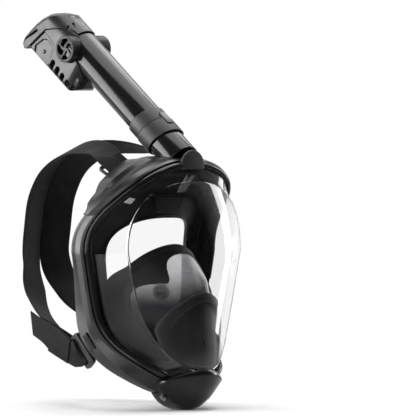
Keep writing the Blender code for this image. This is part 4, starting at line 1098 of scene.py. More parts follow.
@dataclass
class SkirtUnit:
    """The black silicone skirt with its rolled lip round the face opening, and the forehead pad in it."""

    lines: MaskLines
    finishes: Finishes
    wall: float = 0.0018
    overhang: float = 0.003
    roll: float = 0.006

    def section(self, station: float) -> list[Vector]:
        """The skirt's line from the lens to its inner lip."""
        ring, depth = self.lines.ring, self.lines.band_depth(station)
        start, rim = ring.at(station, 0.0052, 0.0160), ring.at(station, 0.0062, depth)
        over = rim + Vector((0, self.overhang, 0))
        bend = over + Vector((0, self.roll, 0))
        lip = self.lines.face.at(station)
        rows = [start.lerp(rim, n / 4) for n in range(5)]
        for n in range(37):
            t = n / 36
            ridge = hump(t, 0.42, 0.07) - 0.8 * hump(t, 0.70, 0.06)
            swell = Vector((0, -0.0024 * ridge * clamp(t * 6) * clamp((1 - t) * 6), 0))
            rows.append(arc(over, bend, lip, t) + swell)
        for turn in (0.35, 0.7, 1.0):
            shrunk = Vector((lip.x, lip.y / 0.985 if lip.y else 0.0, lip.z)) * (1 - 0.015 * turn)
            rows.append(Vector((shrunk.x, lip.y - 0.005 * turn**1.5, shrunk.z)))
        return rows

    def build(self) -> None:
        """Builds and dresses the skirt and the pad."""
        obj = solid(face_away(hoop(self.section), (0, -0.03, 0)), "face_skirt_soft")
        carve(thicken(obj, self.wall), self.lines.port_plug())
        show(obj, self.finishes.silicone, "mask", Slot.SILICONE, ["face_skirt"], sharp=70)
        corners = [(-0.022, 0.0085), (0.022, 0.0085), (0.016, -0.0085), (-0.016, -0.0085)]
        up, ahead = Vector((0, -0.12, 0.99)), Vector((0, -0.99, -0.12))
        stand = basis(Vector((0, 0, 0.066)), Vector((1, 0, 0)), up, ahead)
        pad = solid(prism(rounded(corners, 0.003)[:-1], 0.0185, 0.0262, stand), "forehead_pad")
        soften(pad, 0.0012, 3)
        show(pad, self.finishes.silicone, "mask", Slot.SILICONE)


@dataclass
class PocketUnit:
    """The clear nose and mouth pocket with its dark seal, mouth cover and inhale valves."""

    lines: MaskLines
    finishes: Finishes
    rim: EggLine = field(
        default_factory=lambda: EggLine(
            0.052, 0.046, 0.056, -0.030, 0.15, (1.9, 2.6), (-0.042, -0.012, -0.030), (2.0, 2.0)
        )
    )
    cover: EggLine = field(
        default_factory=lambda: EggLine(
            0.045, 0.040, 0.039, -0.067, 0.20, (1.6, 6.0), (0.0, 0.0, 0.0), (2.0, 2.0)
        )
    )
    front: float = -0.0762
    centre_z: float = -0.055
    wall: float = 0.0016
    seal_wall: float = 0.0018
    cover_wall: float = 0.0018
    cover_front: float = -0.0785
    cover_sweep: float = 0.026
    cover_middle: float = -0.064
    rim_height: float = 0.0034
    rim_wall: float = 0.0010

    def pocket_at(self, station: float, share: float) -> Vector:
        """A point of the pocket, from its front at 0 to its rim at 1."""
        rim = self.rim.at(station)
        x, z = rim.x * share, self.centre_z + (rim.z - self.centre_z) * share
        nose = 0.010 * math.exp(-((x / 0.016) ** 2) - ((z + 0.014) / 0.012) ** 2)
        return Vector((x, self.front + (rim.y - self.front) * share**2.2 - nose, z))

    def cover_at(self, station: float, share: float) -> Vector:
        """A point of the mouth cover's own curve, from its middle at 0 to its edge at 1."""
        edge, middle = self.cover.at(station), self.cover_middle
        x, z = edge.x * share, middle + (edge.z - middle) * share
        swept = self.cover_front + self.cover_sweep * (x / self.cover.half_width) ** 2
        return Vector((x, max(swept, self.lines.lens_depth(x, z) + 0.0031), z))

    def cover_foot(self, station: float) -> float:
        """How far the mouth cover's rim has run out at a station, from 0 on its sides to 1 at its foot."""
        return ease((self.lines.fold(station) - 17.5) / 5.0)

    def cover_rim(self, station: float) -> list[Vector]:
        """The mouth cover's thick rim, standing proud of the panel inside it."""
        rows, foot = [], self.cover_foot(station)
        for share, proud in (
            (1.0, -0.4), (1.0, 0.35), (0.995, 0.7), (0.98, 0.92), (0.955, 1.0), (0.87, 1.02),
            (0.775, 1.0), (0.755, 0.93), (0.745, 0.75), (0.74, 0.4), (0.735, -0.3),
        ):
            point = self.cover_at(station, share + (1 - share) * 0.85 * foot)
            height = self.rim_height * clamp((point.z + 0.098) / 0.03, 0.15, 1.0)
            rows.append(point - Vector((0, proud * height, 0)))
        return rows

    def cover_panel(self, station: float) -> list[Vector]:
        """The mouth cover's panel, from under its rim to its middle."""
        edge = 0.78 + 0.19 * self.cover_foot(station)
        return [self.cover_at(station, edge * (1 - n / 20)) for n in range(21)]

    def skirt_point(self, station: float) -> Vector:
        """The place of the skirt's inner wall that faces a place on the pocket's rim."""
        rim, middle = self.rim.at(self.lines.fold(station)), -0.030
        facing = self.lines.face.facing(math.atan2(rim.x, rim.z - middle), middle, 30)
        found = self.lines.face.at(facing, 0.0012, -0.0030)
        return Vector((-found.x if station % STATIONS > LOWEST else found.x, found.y, found.z))

    def seal_section(self, station: float) -> list[Vector]:
        """The seal from the pocket's rim to its free arch over the nose, or to the skirt below it."""
        fold, out = self.lines.fold(station), self.rim.outward(station)
        fixed = ease((fold - 7.5) / 3.5)
        start = self.rim.at(station, 0.0004, 0.0006)
        end = self.rim.at(station, 0.0064, 0.0086).lerp(self.skirt_point(station), fixed)
        bend = start.lerp(end, 0.5) + out * (0.0016 * (1 - fixed)) + Vector((0, -0.0016, 0))
        inner = 0.95 - 0.25 * hump(fold, 6.9, 2.6)
        rows = []
        for n in range(9):
            share = inner + (1.0 - inner) * n / 8
            rows.append(self.pocket_at(station, share) + Vector((0, -0.0004 - 0.0008 * ease(n / 2), 0)))
        rows += [arc(start, bend, end, n / 12) for n in range(13)]
        roll = (1 - fixed) * 0.0022
        for inward, back, least in ((0.25, 0.75, 0.0003), (1.0, 1.5, 0.0006)):
            rows.append(end + out * (-inward * roll) + Vector((0, back * roll + least, 0)))
        return rows

    def build(self) -> None:
        """Builds and dresses the pocket and what sits on it."""
        f, face, mouth = self.finishes, (0, 0.05, -0.03), (0, 0.05, self.cover_middle)

        def pocket(station: float) -> list[Vector]:
            """The pocket's line from its rim to its front."""
            return [self.pocket_at(station, 1 - n / 40) for n in range(41)]

        def shell(name: str, section: Section, inside: Triple, wall: float) -> bpy.types.Object:
            """A walled shell round the pocket's middle."""
            return thicken(solid(face_away(hoop(section, POCKET_STEPS), inside), name), wall)

        obj = shell("nose_pocket_soft", pocket, face, self.wall)
        show(obj, f.soft_clear, "mask", Slot.CLEAR_SOFT, ["nose_pocket"], sharp=70)
        obj = shell("nose_seal_soft", self.seal_section, face, self.seal_wall)
        show(obj, f.silicone, "mask", Slot.SILICONE, ["nose_seal"], sharp=70)
        obj = shell("mouth_cover_rim", self.cover_rim, mouth, self.rim_wall)
        show(obj, f.satin, "mask", Slot.MATT, ["mouth_cover"], sharp=60)
        obj = shell("mouth_cover_panel", self.cover_panel, mouth, self.cover_wall)
        show(obj, f.satin, "mask", Slot.MATT, sharp=60)
        for side in Side:
            flap_disc(f"inhale_{side.word}", f"inhale_flap_{side.word}", 0.0077, 0.0009, f.silicone)


def joint_axis(body: str) -> Vector:
    """The direction of the slide that moves a body."""
    for joint in FRAME["joints"]:
        if joint.get("child") == body or joint.get("body") == body:
            return Vector(joint["axis"]).normalized()
    return Vector((0, 0, 1))


def flap_disc(body: str, node: str, radius: float, thick: float, finish: bpy.types.Material) -> None:
    """Builds a thin silicone valve flap with a rounded edge, a thin web and a middle boss.

    Args:
        body: The CAD body that it rides on.
        node: The CAD node that it stands for.
        radius: Its radius.
        thick: Its thickness at the edge.
        finish: Its material.
    """
    low, high = (Vector(corner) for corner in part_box(node))
    half = thick / 2
    profile = [
        (0.0, -half), (radius - half, -half), (radius - 0.3 * half, -0.7 * half), (radius, 0.0),
        (radius - 0.3 * half, 0.7 * half), (radius - half, half), (radius * 0.72, half * 0.98),
        (radius * 0.66, half * 0.3), (radius * 0.3, half * 0.3), (radius * 0.24, half), (0.0, half),
    ]
    bm = turned(profile, 64, closed=False)
    turn = Vector((0, 0, 1)).rotation_difference(joint_axis(body)).to_matrix().to_4x4()
    bmesh.ops.transform(bm, matrix=Matrix.Translation((low + high) / 2) @ turn, verts=bm.verts)
    show(solid(bm, node + "_soft"), finish, body, Slot.SILICONE, [node])


@dataclass
class ChinUnit:
    """The chin block under the lens, with the well for its purge valve, and the valve's flap."""

    lines: MaskLines
    finishes: Finishes
    frame_unit: FrameUnit
    lens_unit: LensUnit
    half_width: float = 0.040
    front: float = -0.0835
    rear: float = -0.026
    top: float = -0.107
    bottom: float = -0.149
    well: Triple = (-0.046, 0.012, -0.133)

    def section(self, s: float) -> list[Vector]:
        """The block's cross section at a share of its half width from -1 to 1."""
        front, top = self.front + 0.020 * s * s, self.top - 0.012 * s * s
        low, rear = self.bottom + 0.026 * abs(s) ** 2.2, self.rear - 0.008 * s * s
        t, d = top - low, rear - front
        corners = [
            (front + 0.02 * d, top), (front, top - 0.12 * t), (front + 0.06 * d, top - 0.45 * t),
            (front + 0.22 * d, top - 0.78 * t), (front + 0.42 * d, low + 0.01 * t),
            (front + 0.50 * d, low), (front + 0.90 * d, low), (rear, low + 0.08 * t),
            (rear, top - 0.30 * t), (front + 0.5 * d, top),
        ]
        return [Vector((self.half_width * s, y, z)) for y, z in rounded(corners, 0.0035, 4)]

    def clearance(self) -> list[bmesh.types.BMesh]:
        """The room that the lens, bezel and side band take, a little grown."""
        ring, grow = self.lines.ring, 0.0004
        plug = face_away(hoop(self.lens_unit.section, CUTTER_STEPS), (0, 0, 0))
        plug.normal_update()
        for v in plug.verts:
            v.co += v.normal * grow
        rear = [e for e in plug.edges if e.is_boundary]
        made = bmesh.ops.extrude_edge_only(plug, edges=rear)["geom"]
        moved = [v for v in made if isinstance(v, bmesh.types.BMVert)]
        bmesh.ops.translate(plug, vec=(0, 0.09, 0), verts=moved)
        bmesh.ops.holes_fill(plug, edges=[e for e in plug.edges if e.is_boundary], sides=0)
        bmesh.ops.recalc_face_normals(plug, faces=plug.faces)

        def collar(station: float) -> list[Vector]:
            """Bezel and band in one grown section."""
            reach, depth = self.lines.band_out(station), self.lines.band_depth(station)
            unit = self.frame_unit
            bezel, lip = unit.width + grow, -unit.lip - grow
            profile = [(-0.004, lip), (bezel, lip), (bezel, unit.depth + grow)]
            profile += [(reach + grow, 0.0125), (reach + grow, depth + grow), (-0.004, depth + grow)]
            return ring.beside(station, profile + profile[:1])

        return [plug, hoop(collar, CUTTER_STEPS)]

    def build(self) -> None:
        """Builds and dresses the block with its well, and the flap."""
        bm = loft(lambda u: self.section(2 * u - 1), 64, caps=True)
        obj = carve(solid(bm, "chin_block_shell"), *self.clearance())
        y, radius, roof = self.well
        carve(obj, rod(radius, -0.17, roof, Matrix.Translation((0, y, 0)), 64))
        soften(obj, 0.0007, 2, 35)
        show(obj, self.finishes.gloss, "mask", Slot.MATT, ["chin_block"], sharp=45)
        flap_disc("purge", "purge_flap", 0.0109, 0.0009, self.finishes.silicone)


@dataclass
class SnorkelUnit:
    """The snorkel's lower end and tube: socket, two collars, latch, tube and seal."""

    lines: MaskLines
    finishes: Finishes
    lean: float = math.radians(52.85)
    slant: float = math.tan(math.radians(12.0))
    radius: float = 0.0183
    wall: float = 0.0020
    low: Triple = (0.0206, 0.0346, 0.0554)
    high: Triple = (0.0199, 0.0557, 0.0730)
    top: float = 0.2280
    latch: Triple = (0.00425, 0.04065, 0.05865)

    @property
    def frame(self) -> Matrix:
        """The tube's frame: X across, Y to the lower back and Z along the tube."""
        along = Vector((0.0, math.sin(self.lean), math.cos(self.lean)))
        across = Vector((1.0, 0.0, 0.0))
        return basis(Vector((0.0, -0.0486, 0.1069)), across, along.cross(across), along)

    def spun(self, corners: Sequence[Pair], ease_by: float, slanted: bool = False) -> bmesh.types.BMesh:
        """A rounded turned ring in the tube's frame.

        Args:
            corners: Radius and height of its section's corners.
            ease_by: Rounding of the corners.
            slanted: Whether its ends follow the slanted seam.

        Returns:
            The ring, in place.
        """
        bm = turned(rounded(corners, ease_by)[:-1], 128)
        if slanted:
            for v in bm.verts:
                v.co.z += v.co.y * self.slant
        bmesh.ops.transform(bm, matrix=self.frame, verts=bm.verts)
        return bm

    def brow_room(self) -> bmesh.types.BMesh:
        """The space under the outside of the brow shell, which the socket stays out of."""
        profile = [(-0.03, -0.004), (0.0117, -0.004), (0.0117, 0.07), (-0.03, 0.07)]
        closed = profile + profile[:1]
        return loft(lambda u: self.lines.ring.beside(self.lines.along_brow(u), closed), 48, caps=True)

    def build(self) -> None:
        """Builds and dresses the socket, collars, latch, tube and seal."""
        r, f = self.radius, self.finishes
        stub = [(r, 0.003), (r, 0.0540), (0.0153, 0.0540), (0.0153, 0.003)]
        obj = carve(solid(self.spun(stub, 0.0006), "socket_shell"), self.brow_room())
        show(obj, f.gloss, "mask", Slot.GLOSS, ["snorkel_socket"])
        for name, (reach, a, b), body in (
            ("lower_collar", self.low, "mask"), ("upper_collar", self.high, "snorkel"),
        ):
            ring = [(0.0186, a), (reach, a), (reach, b), (0.0186, b)]
            show(solid(self.spun(ring, 0.0009, True), name + "_ring"), f.matt, body, Slot.MATT, [name])
        half, a, b = self.latch
        pad = solid(soft_box((-half, -0.0214, a), (half, -0.0192, b), 0.0009, self.frame), "latch_pad")
        show(pad, f.satin, "latch", Slot.GLOSS, ["release_latch"])
        tube = [
            (r, 0.0567), (r, self.top), (r - self.wall, self.top), (r - self.wall, 0.0590),
            (0.0130, 0.0575), (0.0130, 0.0395), (0.0150, 0.0395), (0.0150, 0.0567),
        ]
        show(solid(self.spun(tube, 0.0005), "tube_shell"), f.gloss, "snorkel", Slot.GLOSS, ["snorkel_tube"])
        seal = [(0.0152, 0.0543), (0.0178, 0.0543), (0.0178, 0.0562), (0.0152, 0.0562)]
        obj = solid(self.spun(seal, 0.0008), "seal_ring")
        show(obj, f.silicone, "snorkel", Slot.SILICONE, ["tube_seal"])


@dataclass
class DryTop:
    """The dry top: hood, vented cage and the two float housings with their floats."""

    snorkel: SnorkelUnit
    finishes: Finishes
    half_width: float = 0.0205
    cage_half: float = 0.0194
    voxel: float = 0.00047
    passes: int = 3
    room: float = 0.0003
    float_at: float = 0.1942
    housing: Triple = (0.0140, 0.0016, 0.0270)
    windows: tuple[float, ...] = (0.2031, 0.1933, 0.1834, 0.1735)
    panel: tuple[Pair, ...] = (
        (0.045, 0.262), (0.0140, 0.2470), (0.0088, 0.2390), (0.0092, 0.2269), (0.0112, 0.2150),
        (0.0200, 0.2118), (0.045, 0.2118),
    )
    inner_panel: tuple[Pair, ...] = (
        (0.045, 0.2330), (0.0330, 0.2385), (0.0300, 0.2400), (0.0175, 0.2345), (0.0140, 0.2290),
        (0.0143, 0.2215), (0.0185, 0.2155), (0.045, 0.2155),
    )
    hood_roof: tuple[Pair, ...] = (
        (-0.020, 0.212), (-0.0192, 0.2222), (-0.0165, 0.2325), (-0.0122, 0.2405), (-0.006, 0.2480),
        (0.003, 0.2538), (0.0125, 0.2580), (0.0235, 0.2614), (0.034, 0.2638), (0.0392, 0.2630),
        (0.0416, 0.2590),
    )
    hood_under: tuple[Pair, ...] = (
        (0.0403, 0.2475), (0.0060, 0.236), (-0.0046, 0.224), (-0.0137, 0.211), (-0.0156, 0.199),
    )

    def arched(self, drop: float) -> bmesh.types.BMesh:
        """Draws the hood's side view out across X under an arched roof.

        Args:
            drop: How far the roof falls to its sides.

        Returns:
            The closed body, in the tube's frame.
        """
        outline = [(-0.020, 0.199), *self.hood_roof, *self.hood_under]

        def section(u: float) -> list[Vector]:
            """The outline at one place across."""
            across = -math.cos(math.pi * u)
            fall = drop * (1 - math.sqrt(max(0.0, 1 - 0.985 * across * across)))
            row = []
            for y, z in outline:
                lower = fall * clamp((z - 0.205) / 0.03) if (y, z) in self.hood_roof else 0.0
                row.append(Vector((self.half_width * across, y, z - lower)))
            return row + row[:1]

        return loft(section, 48, caps=True)

    @staticmethod
    def plan(front: float, side: float, back: float, corner: float) -> bmesh.types.BMesh:
        """The dry top seen along the tube, as a closed body to trim it with.

        Args:
            front: Radius of its round front.
            side: Half of its width.
            back: How far its back stands from the tube's middle.
            corner: Radius of its back corners.

        Returns:
            The trimming body.
        """
        turns = [math.pi * (1 + n / 24) for n in range(25)]
        points = [(front * math.cos(t), front * math.sin(t)) for t in turns]
        for sign in (1, -1):
            for n in range(9):
                turn = math.pi / 16 * (n if sign > 0 else 8 - n)
                out = side - corner * (1 - math.cos(turn))
                points.append((sign * out, back - corner * (1 - math.sin(turn))))
        return prism(points, 0.15, 0.28)

    @staticmethod
    def across() -> Matrix:
        """A frame whose X is the tube's lower back, Y along the tube and Z across."""
        return basis(Vector(), Vector((0, 1, 0)), Vector((0, 0, 1)), Vector((1, 0, 0)))

    def housing_frame(self, side: Side) -> Matrix:
        """A float housing's frame, in the tube's, with Z outwards."""
        out = Vector((side.value, 0, 0))
        return basis(Vector((0, 0, self.float_at)), Vector((0, side.value, 0)), Vector((0, 0, 1)), out)

    def bore(self, low: float, high: float) -> bmesh.types.BMesh:
        """The tube's room between two heights."""
        return rod(self.snorkel.radius + self.room, low, high)

    def housing_rooms(self) -> list[bmesh.types.BMesh]:
        """The rooms of both float housings."""
        return [rod(self.housing[0] + self.room, 0.002, 0.055, self.housing_frame(side)) for side in Side]

    def hood(self) -> bpy.types.Object:
        """Builds the hood with its slots and vents."""
        obj = solid(self.arched(0.0125), "hood_shell")
        carve(obj, self.plan(0.020, 0.0203, 0.0440, 0.005), how=Cut.KEEP)
        bore = self.bore(0.17, self.snorkel.top + self.room)
        carve(obj, bore, *self.housing_rooms(), *self.hood_cuts())
        return melt(obj, self.voxel, self.passes)

    def hood_cuts(self) -> list[bmesh.types.BMesh]:
        """The long slots under the hood's tip and its small vents, on both sides."""
        cuts = []
        for side in Side:
            x = side.value
            low, high = sorted((x * 0.0140, x * 0.026))
            slot = Matrix.Translation((0, 0.0370, 0.2572)) @ Matrix.Rotation(math.radians(27), 4, "X")
            cuts.append(soft_box((low, -0.0260, -0.0011), (high, 0.0, 0.0011), 0.0008, slot))
            for (beyond, y, z), lean, long in (
                ((0.0100, -0.0176, 0.2125), 0.35, 0.0036), ((0.0150, -0.0129, 0.2120), 0.5, 0.0040),
            ):
                spot = Vector((x * beyond, y, z))
                out = Vector((spot.x, spot.y, 0)).normalized()
                beside = Vector((0, 0, 1)).cross(out)
                rise = (Vector((0, 0, 1)) - beside * (lean * x)).normalized()
                stand = basis(spot, rise.cross(out), rise, out)
                cuts.append(soft_box((-0.0010, -long, -0.004), (0.0010, long, 0.004), 0.0009, stand))
        return cuts

    def cage(self) -> bpy.types.Object:
        """Builds the cage: side walls up to the hood, comb windows, stepped panels and a rounded foot."""
        outline = [
            (-0.0150, 0.196), (-0.0134, 0.2104), (-0.0043, 0.2236), (0.0062, 0.2355), (0.0400, 0.2468),
            (0.0392, 0.178), (0.0362, 0.1695), (0.0300, 0.1640), (0.0140, 0.1640), (0.0075, 0.169),
            (0.0040, 0.180), (-0.006, 0.190),
        ]
        half = self.cage_half
        obj = solid(prism(rounded(outline, 0.002)[:-1], -half, half, self.across()), "cage_shell")
        wide, tall, turns = 0.017, 0.0162, [math.pi / 2 * n / 8 for n in range(9)]
        foot = [(half, 0.28), (-half, 0.28)]
        foot += [(-half + wide * (1 - math.cos(t)), 0.1800 - tall * math.sin(t)) for t in turns]
        foot += [(half - wide * (1 - math.sin(t)), 0.1800 - tall * math.cos(t)) for t in turns]
        ahead = basis(Vector(), Vector((1, 0, 0)), Vector((0, 0, 1)), Vector((0, -1, 0)))
        carve(obj, self.plan(half, half, 0.0394, 0.009), prism(foot, -0.06, 0.06, ahead), how=Cut.KEEP)
        carve(obj, self.bore(0.15, 0.27), *self.housing_rooms())
        carve(obj, soft_box((-0.0162, 0.0185, 0.1685), (0.0162, 0.0366, 0.2125), 0.003))
        for n, low in enumerate(self.windows):
            deep = 0.0242 + 0.0012 * n
            carve(obj, soft_box((-0.03, deep, low), (0.03, 0.0358, low + 0.0062), 0.0028))
            edge = Matrix.Translation((0, 0.0412, low - 0.0018)) @ Matrix.Rotation(math.pi / 2, 4, "Y")
            carve(obj, rod(0.0026, -0.03, 0.03, edge))
        for side in Side:
            for panel, sunk in ((self.panel, 0.0013), (self.inner_panel, 0.0028)):
                low, high = sorted((side.value * (half - sunk), side.value * 0.03))
                carve(obj, prism(panel, low, high, self.across()))
            out = Matrix.Rotation(side.value * math.pi / 2, 4, "Y")
            stud = Matrix.Translation((0, 0.0276, 0.2260)) @ out
            carve(obj, rod(0.0016, half - 0.004, half - 0.0014, stud), how=Cut.JOIN)
        return melt(obj, self.voxel, self.passes)

    def swirl(self, start: float, side: Side) -> list[Pair]:
        """A comma-shaped window between the hub and the rim of a housing's face."""
        hub, rim = self.housing[0] * 0.15, self.housing[0] * 0.83
        outer, inner = [], []
        for n in range(17):
            share = n / 16
            turn = start + side.value * math.radians(84) * share
            reach = hub + (rim - hub) * math.sin(math.pi / 2 * (0.42 + 0.58 * share))
            outer.append((reach * math.cos(turn), reach * math.sin(turn)))
            reach = hub + (rim - hub) * 0.66 * share**2.4
            inner.append((reach * math.cos(turn), reach * math.sin(turn)))
        return outer + inner[::-1]

    def float_housing(self, side: Side) -> bpy.types.Object:
        """Builds one housing with its swirl of windows."""
        radius, wall, reach = self.housing
        corners = [
            (0.0, reach - 0.0006), (radius - 0.0036, reach - 0.0006), (radius - 0.0028, reach),
            (radius, reach - 0.0004), (radius, 0.006), (radius - wall, 0.006),
            (radius - wall, reach - wall), (0.0, reach - wall),
        ]
        bm = turned(rounded(corners, 0.0007, closed=False), 96, closed=False)
        bmesh.ops.transform(bm, matrix=self.housing_frame(side), verts=bm.verts)
        obj = carve(solid(bm, f"float_housing_{side.word}_shell"), self.bore(0.15, 0.24))
        for n in range(4):
            window = self.swirl(0.07 + n * math.pi / 2, side)
            carve(obj, prism(window, reach - 0.006, reach + 0.006, self.housing_frame(side)))
        return soften(obj, 0.0003, 2, 40)

    def build(self) -> None:
        """Builds and dresses the dry top."""
        f, frame = self.finishes, self.snorkel.frame
        radius, wall, reach = self.housing
        for obj, node in ((self.hood(), "dry_top_hood"), (self.cage(), "dry_top_cage")):
            obj.data.transform(frame)
            show(obj, f.satin, "snorkel", Slot.MATT, [node], sharp=80)
        for side in Side:
            obj, word = self.float_housing(side), f"float_{side.word}"
            obj.data.transform(frame)
            show(obj, f.matt, "snorkel", Slot.MATT, [f"float_housing_{side.word}"], sharp=50)
            corners = [(0.0, -0.0052), (0.0060, -0.0052), (0.0060, 0.0), (0.0, 0.0)]
            place = frame @ self.housing_frame(side)
            place = place @ Matrix.Translation((0, -(radius - wall - 0.0063), reach - wall - self.room))
            bm = turned(rounded(corners, 0.0012, closed=False), 64, closed=False)
            bmesh.ops.transform(bm, matrix=place, verts=bm.verts)
            show(solid(bm, word + "_body"), f.gloss, word, Slot.GLOSS, [word])


@dataclass
class Harness:
    """The head harness: two elastic bands, their loops, clips, buttons and free tails."""

    lines: MaskLines
    finishes: Finishes
    thick: float = 0.0020
    width: float = 0.0340
    top_width: float = 0.0300
    low_width: float = 0.0280
    back: float = 0.1690
    top: float = 0.1210
    clip_thick: float = 0.0050
    clip_depth: float = 0.0170
    clip_gap: float = 0.00045
    clip_slot: Pair = (0.015, 0.0026)
    tail: float = 0.0720
    loop_x: float = 0.042
    corner: float = 0.003

    def loop_frame(self, side: Side) -> Matrix:
        """The upper loop's frame: X along it and Y through it."""
        ring = self.lines.ring
        station = min(range(WIDEST), key=lambda i: abs(ring.at(i).x - self.loop_x))
        rear, end, _ = self.lines.brow_edge(station)
        edge = ring.at(station, end + 0.00066, rear)
        ahead = ring.at(station + 1) - ring.at(station - 1)
        along = Vector((ahead.x, 0, ahead.z)).normalized()
        rise = Vector((0, 0.80, 0.60))
        rise = (rise - along * rise.dot(along)).normalized()
        for axis in (edge, along, rise):
            axis.x *= side.value
        if side is Side.RIGHT:
            along.negate()
        return basis(edge + rise * 0.0089, along, rise, along.cross(rise))

    def head_normal(self, point: Vector) -> Vector:
        """The direction away from the wearer's head at a point of a band."""
        away = point - Vector((0, self.back * 0.473, self.top * 0.083))
        radii = (self.back * 0.444, self.back * 0.562, self.top * 0.992)
        return Vector([a / (r * r) for a, r in zip(away, radii)]).normalized()

    def band_path(self, side: Side) -> tuple[list[Vector], list[Vector], list[float]]:
        """The middle line of one band.

        Args:
            side: The wearer's side.

        Returns:
            Its points, face directions and widths.
        """
        loop, clip = self.loop_frame(side), clip_frame(self.lines, side)
        up, rise = loop.col[2].xyz, loop.col[1].xyz
        if up.z < 0:
            up = -up
        over, lift = loop.translation, 0.00365
        start = [
            over + up * 0.0016 - rise * 0.0115, over + up * (lift - 0.0006) - rise * 0.006,
            over + up * (lift + 0.0002), over + up * (lift + 0.0012) + rise * 0.0090,
        ]
        s, wide, x = side.value, self.width, self.width / 2 - 0.0004
        end = clip @ Vector((0, -self.clip_thick * 1.1, self.clip_depth + 0.0025))
        cheek = Vector((s * (x + wide * 1.08), self.back * 0.575, self.top * -0.512))
        knots = [start[-1]]
        for a, b, c in (
            (wide * 0.86, 0.30, 0.998), (x + 0.0016, 0.58, 0.995), (x, 0.81, 0.85), (x, 0.940, 0.60),
            (x, 0.986, 0.30), (x, 0.998, 0.06), (x + wide * 0.13, 0.948, -0.149),
            (x + wide * 0.46, 0.836, -0.338),
        ):
            knots.append(Vector((s * a, self.back * b, self.top * c)))
        path = start[:-1] + smooth_path(knots + [cheek, end.lerp(cheek, 0.32), end], 12)
        normals, widths = [up, up, up], []
        for i, p in enumerate(path[3:]):
            last = clamp(1 - (len(path) - 4 - i) / 24)
            face = self.head_normal(p)
            face.x *= 1 - 0.75 * ease(-p.z / 0.025)
            normals.append(up.lerp(face, clamp(i / 18)).lerp(clip.col[1].xyz, last))
        for p in path:
            narrow = self.top_width if p.z > 0 else self.low_width
            broad = ease((p.y - self.back * 0.30) / (self.back * 0.45))
            widths.append(narrow + (self.width - narrow) * broad)
        return path, normals, widths

    def tail_path(self, side: Side) -> tuple[list[Vector], list[Vector], list[float]]:
        """The middle line of one free tail, as band_path gives it."""
        clip = clip_frame(self.lines, side)
        out, rear = clip.col[1].xyz, clip.col[2].xyz
        middle = self.clip_depth + self.clip_gap - 0.004 - self.clip_slot[1]
        slot = clip @ Vector((0, -self.clip_thick * 0.3, middle))
        lift = self.clip_thick / 2 + self.thick / 2 + 0.0009
        away = Vector((side.value * -0.02, 0.93, 0.45)).normalized()
        first = slot + out * (lift + 0.0008) + rear * 0.013 + Vector((0, 0, 0.0055))
        path = [slot - out * 0.002, slot + out * (lift * 0.5), slot + out * lift + rear * 0.0022]
        normals = [rear * -1.0, out - rear, out]
        for n in range(25):
            path.append(first + away * (self.tail * n / 24))
            normals.append(out.lerp(Vector((side.value, 0.02, 0.0)), 0.97 * ease(n / 14)))
        return path, normals, [self.low_width] * len(path)

    def ribbon(self, path: list[Vector], normals: list[Vector], widths: list[float]) -> bmesh.types.BMesh:
        """A band with rounded selvedges along a path.

        Args:
            path: Its middle line.
            normals: The direction its outer face looks at each point.
            widths: Its width at each point.

        Returns:
            The closed band.
        """
        steps, last = 16, len(path) - 1
        rim = [(-0.5 + n / steps, -0.5) for n in range(steps + 1)]
        rim += [(0.5 - n / steps, 0.5) for n in range(steps + 1)]

        def section(u: float) -> list[Vector]:
            """The band's cross section, thinner at its selvedges."""
            i = round(u * last)
            ahead = path[min(i + 1, last)] - path[max(i - 1, 0)]
            across = ahead.cross(normals[i]).normalized()
            normal = across.cross(ahead).normalized()
            row = []
            for a, b in rim:
                thin = 1.0 - 0.45 * clamp((abs(a) - 0.44) / 0.06) ** 2
                row.append(path[i] + across * (a * widths[i]) + normal * (b * self.thick * thin))
            return row + row[:1]

        return loft(section, last, caps=True)

    def plate(
        self, name: str, half: Pair, thick: float, hole: Pair, shift: float = 0.0
    ) -> bpy.types.Object:
        """A rounded flat loop with a slot, lying in X and Y about its middle.

        Args:
            name: Its name.
            half: Half of its width and height.
            thick: Its thickness.
            hole: Half of the slot's width and height.
            shift: How far the slot's middle lies above its own.

        Returns:
            The loop.
        """
        (x, y), (a, b) = half, hole
        outline = rounded([(x, -y), (x, y), (-x, y), (-x, -y)], self.corner * 1.4, 5)[:-1]
        obj = solid(prism(outline, -thick / 2, thick / 2), name)
        carve(obj, soft_box((-a, shift - b, -0.02), (a, shift + b, 0.02), 0.0009))
        return soften(obj, 0.0007, 3, 40)

    @staticmethod
    def squared(bm: bmesh.types.BMesh, path: list[Vector]) -> bmesh.types.BMesh:
        """Leans a tail's free end so that it is cut upright."""
        first, last = path[3], path[-1]
        along = last - first
        for v in bm.verts:
            share = clamp((v.co - first).dot(along) / along.length_squared)
            height = v.co.z - first.lerp(last, share).z
            v.co.y += height * 0.62 * ease((share - 0.35) / 0.5)
        return bm

    def fairing(self, side: Side) -> bmesh.types.BMesh:
        """The smooth swell of the brow shell that a band runs out from."""

        def section(u: float) -> list[Vector]:
            """Its outline at one place along the brow."""
            i = 0.7 + 7.4 * u
            rear, end, knee = self.lines.brow_edge(i)
            w = ease((i - 1.0) / 1.8) * ease((7.2 - i) / 2.2)
            corners = [
                (0.0100, 0.0135), (0.0112, 0.0160), (0.0113, max(0.0165, knee - 0.0045)),
                (0.0113 + 0.0040 * w, knee - 0.0005), (end + 0.0018 + 0.0062 * w, rear + 0.0002 * w),
                (end + 0.0016 + 0.0054 * w, rear + 0.0036 * w), (end + 0.0006, rear + 0.0042 * w),
                (end + 0.0004, rear - 0.001),
            ]
            station = i if side is Side.LEFT else STATIONS - i
            return self.lines.ring.beside(station, rounded(corners, 0.0006))

        return loft(section, 64, caps=True)

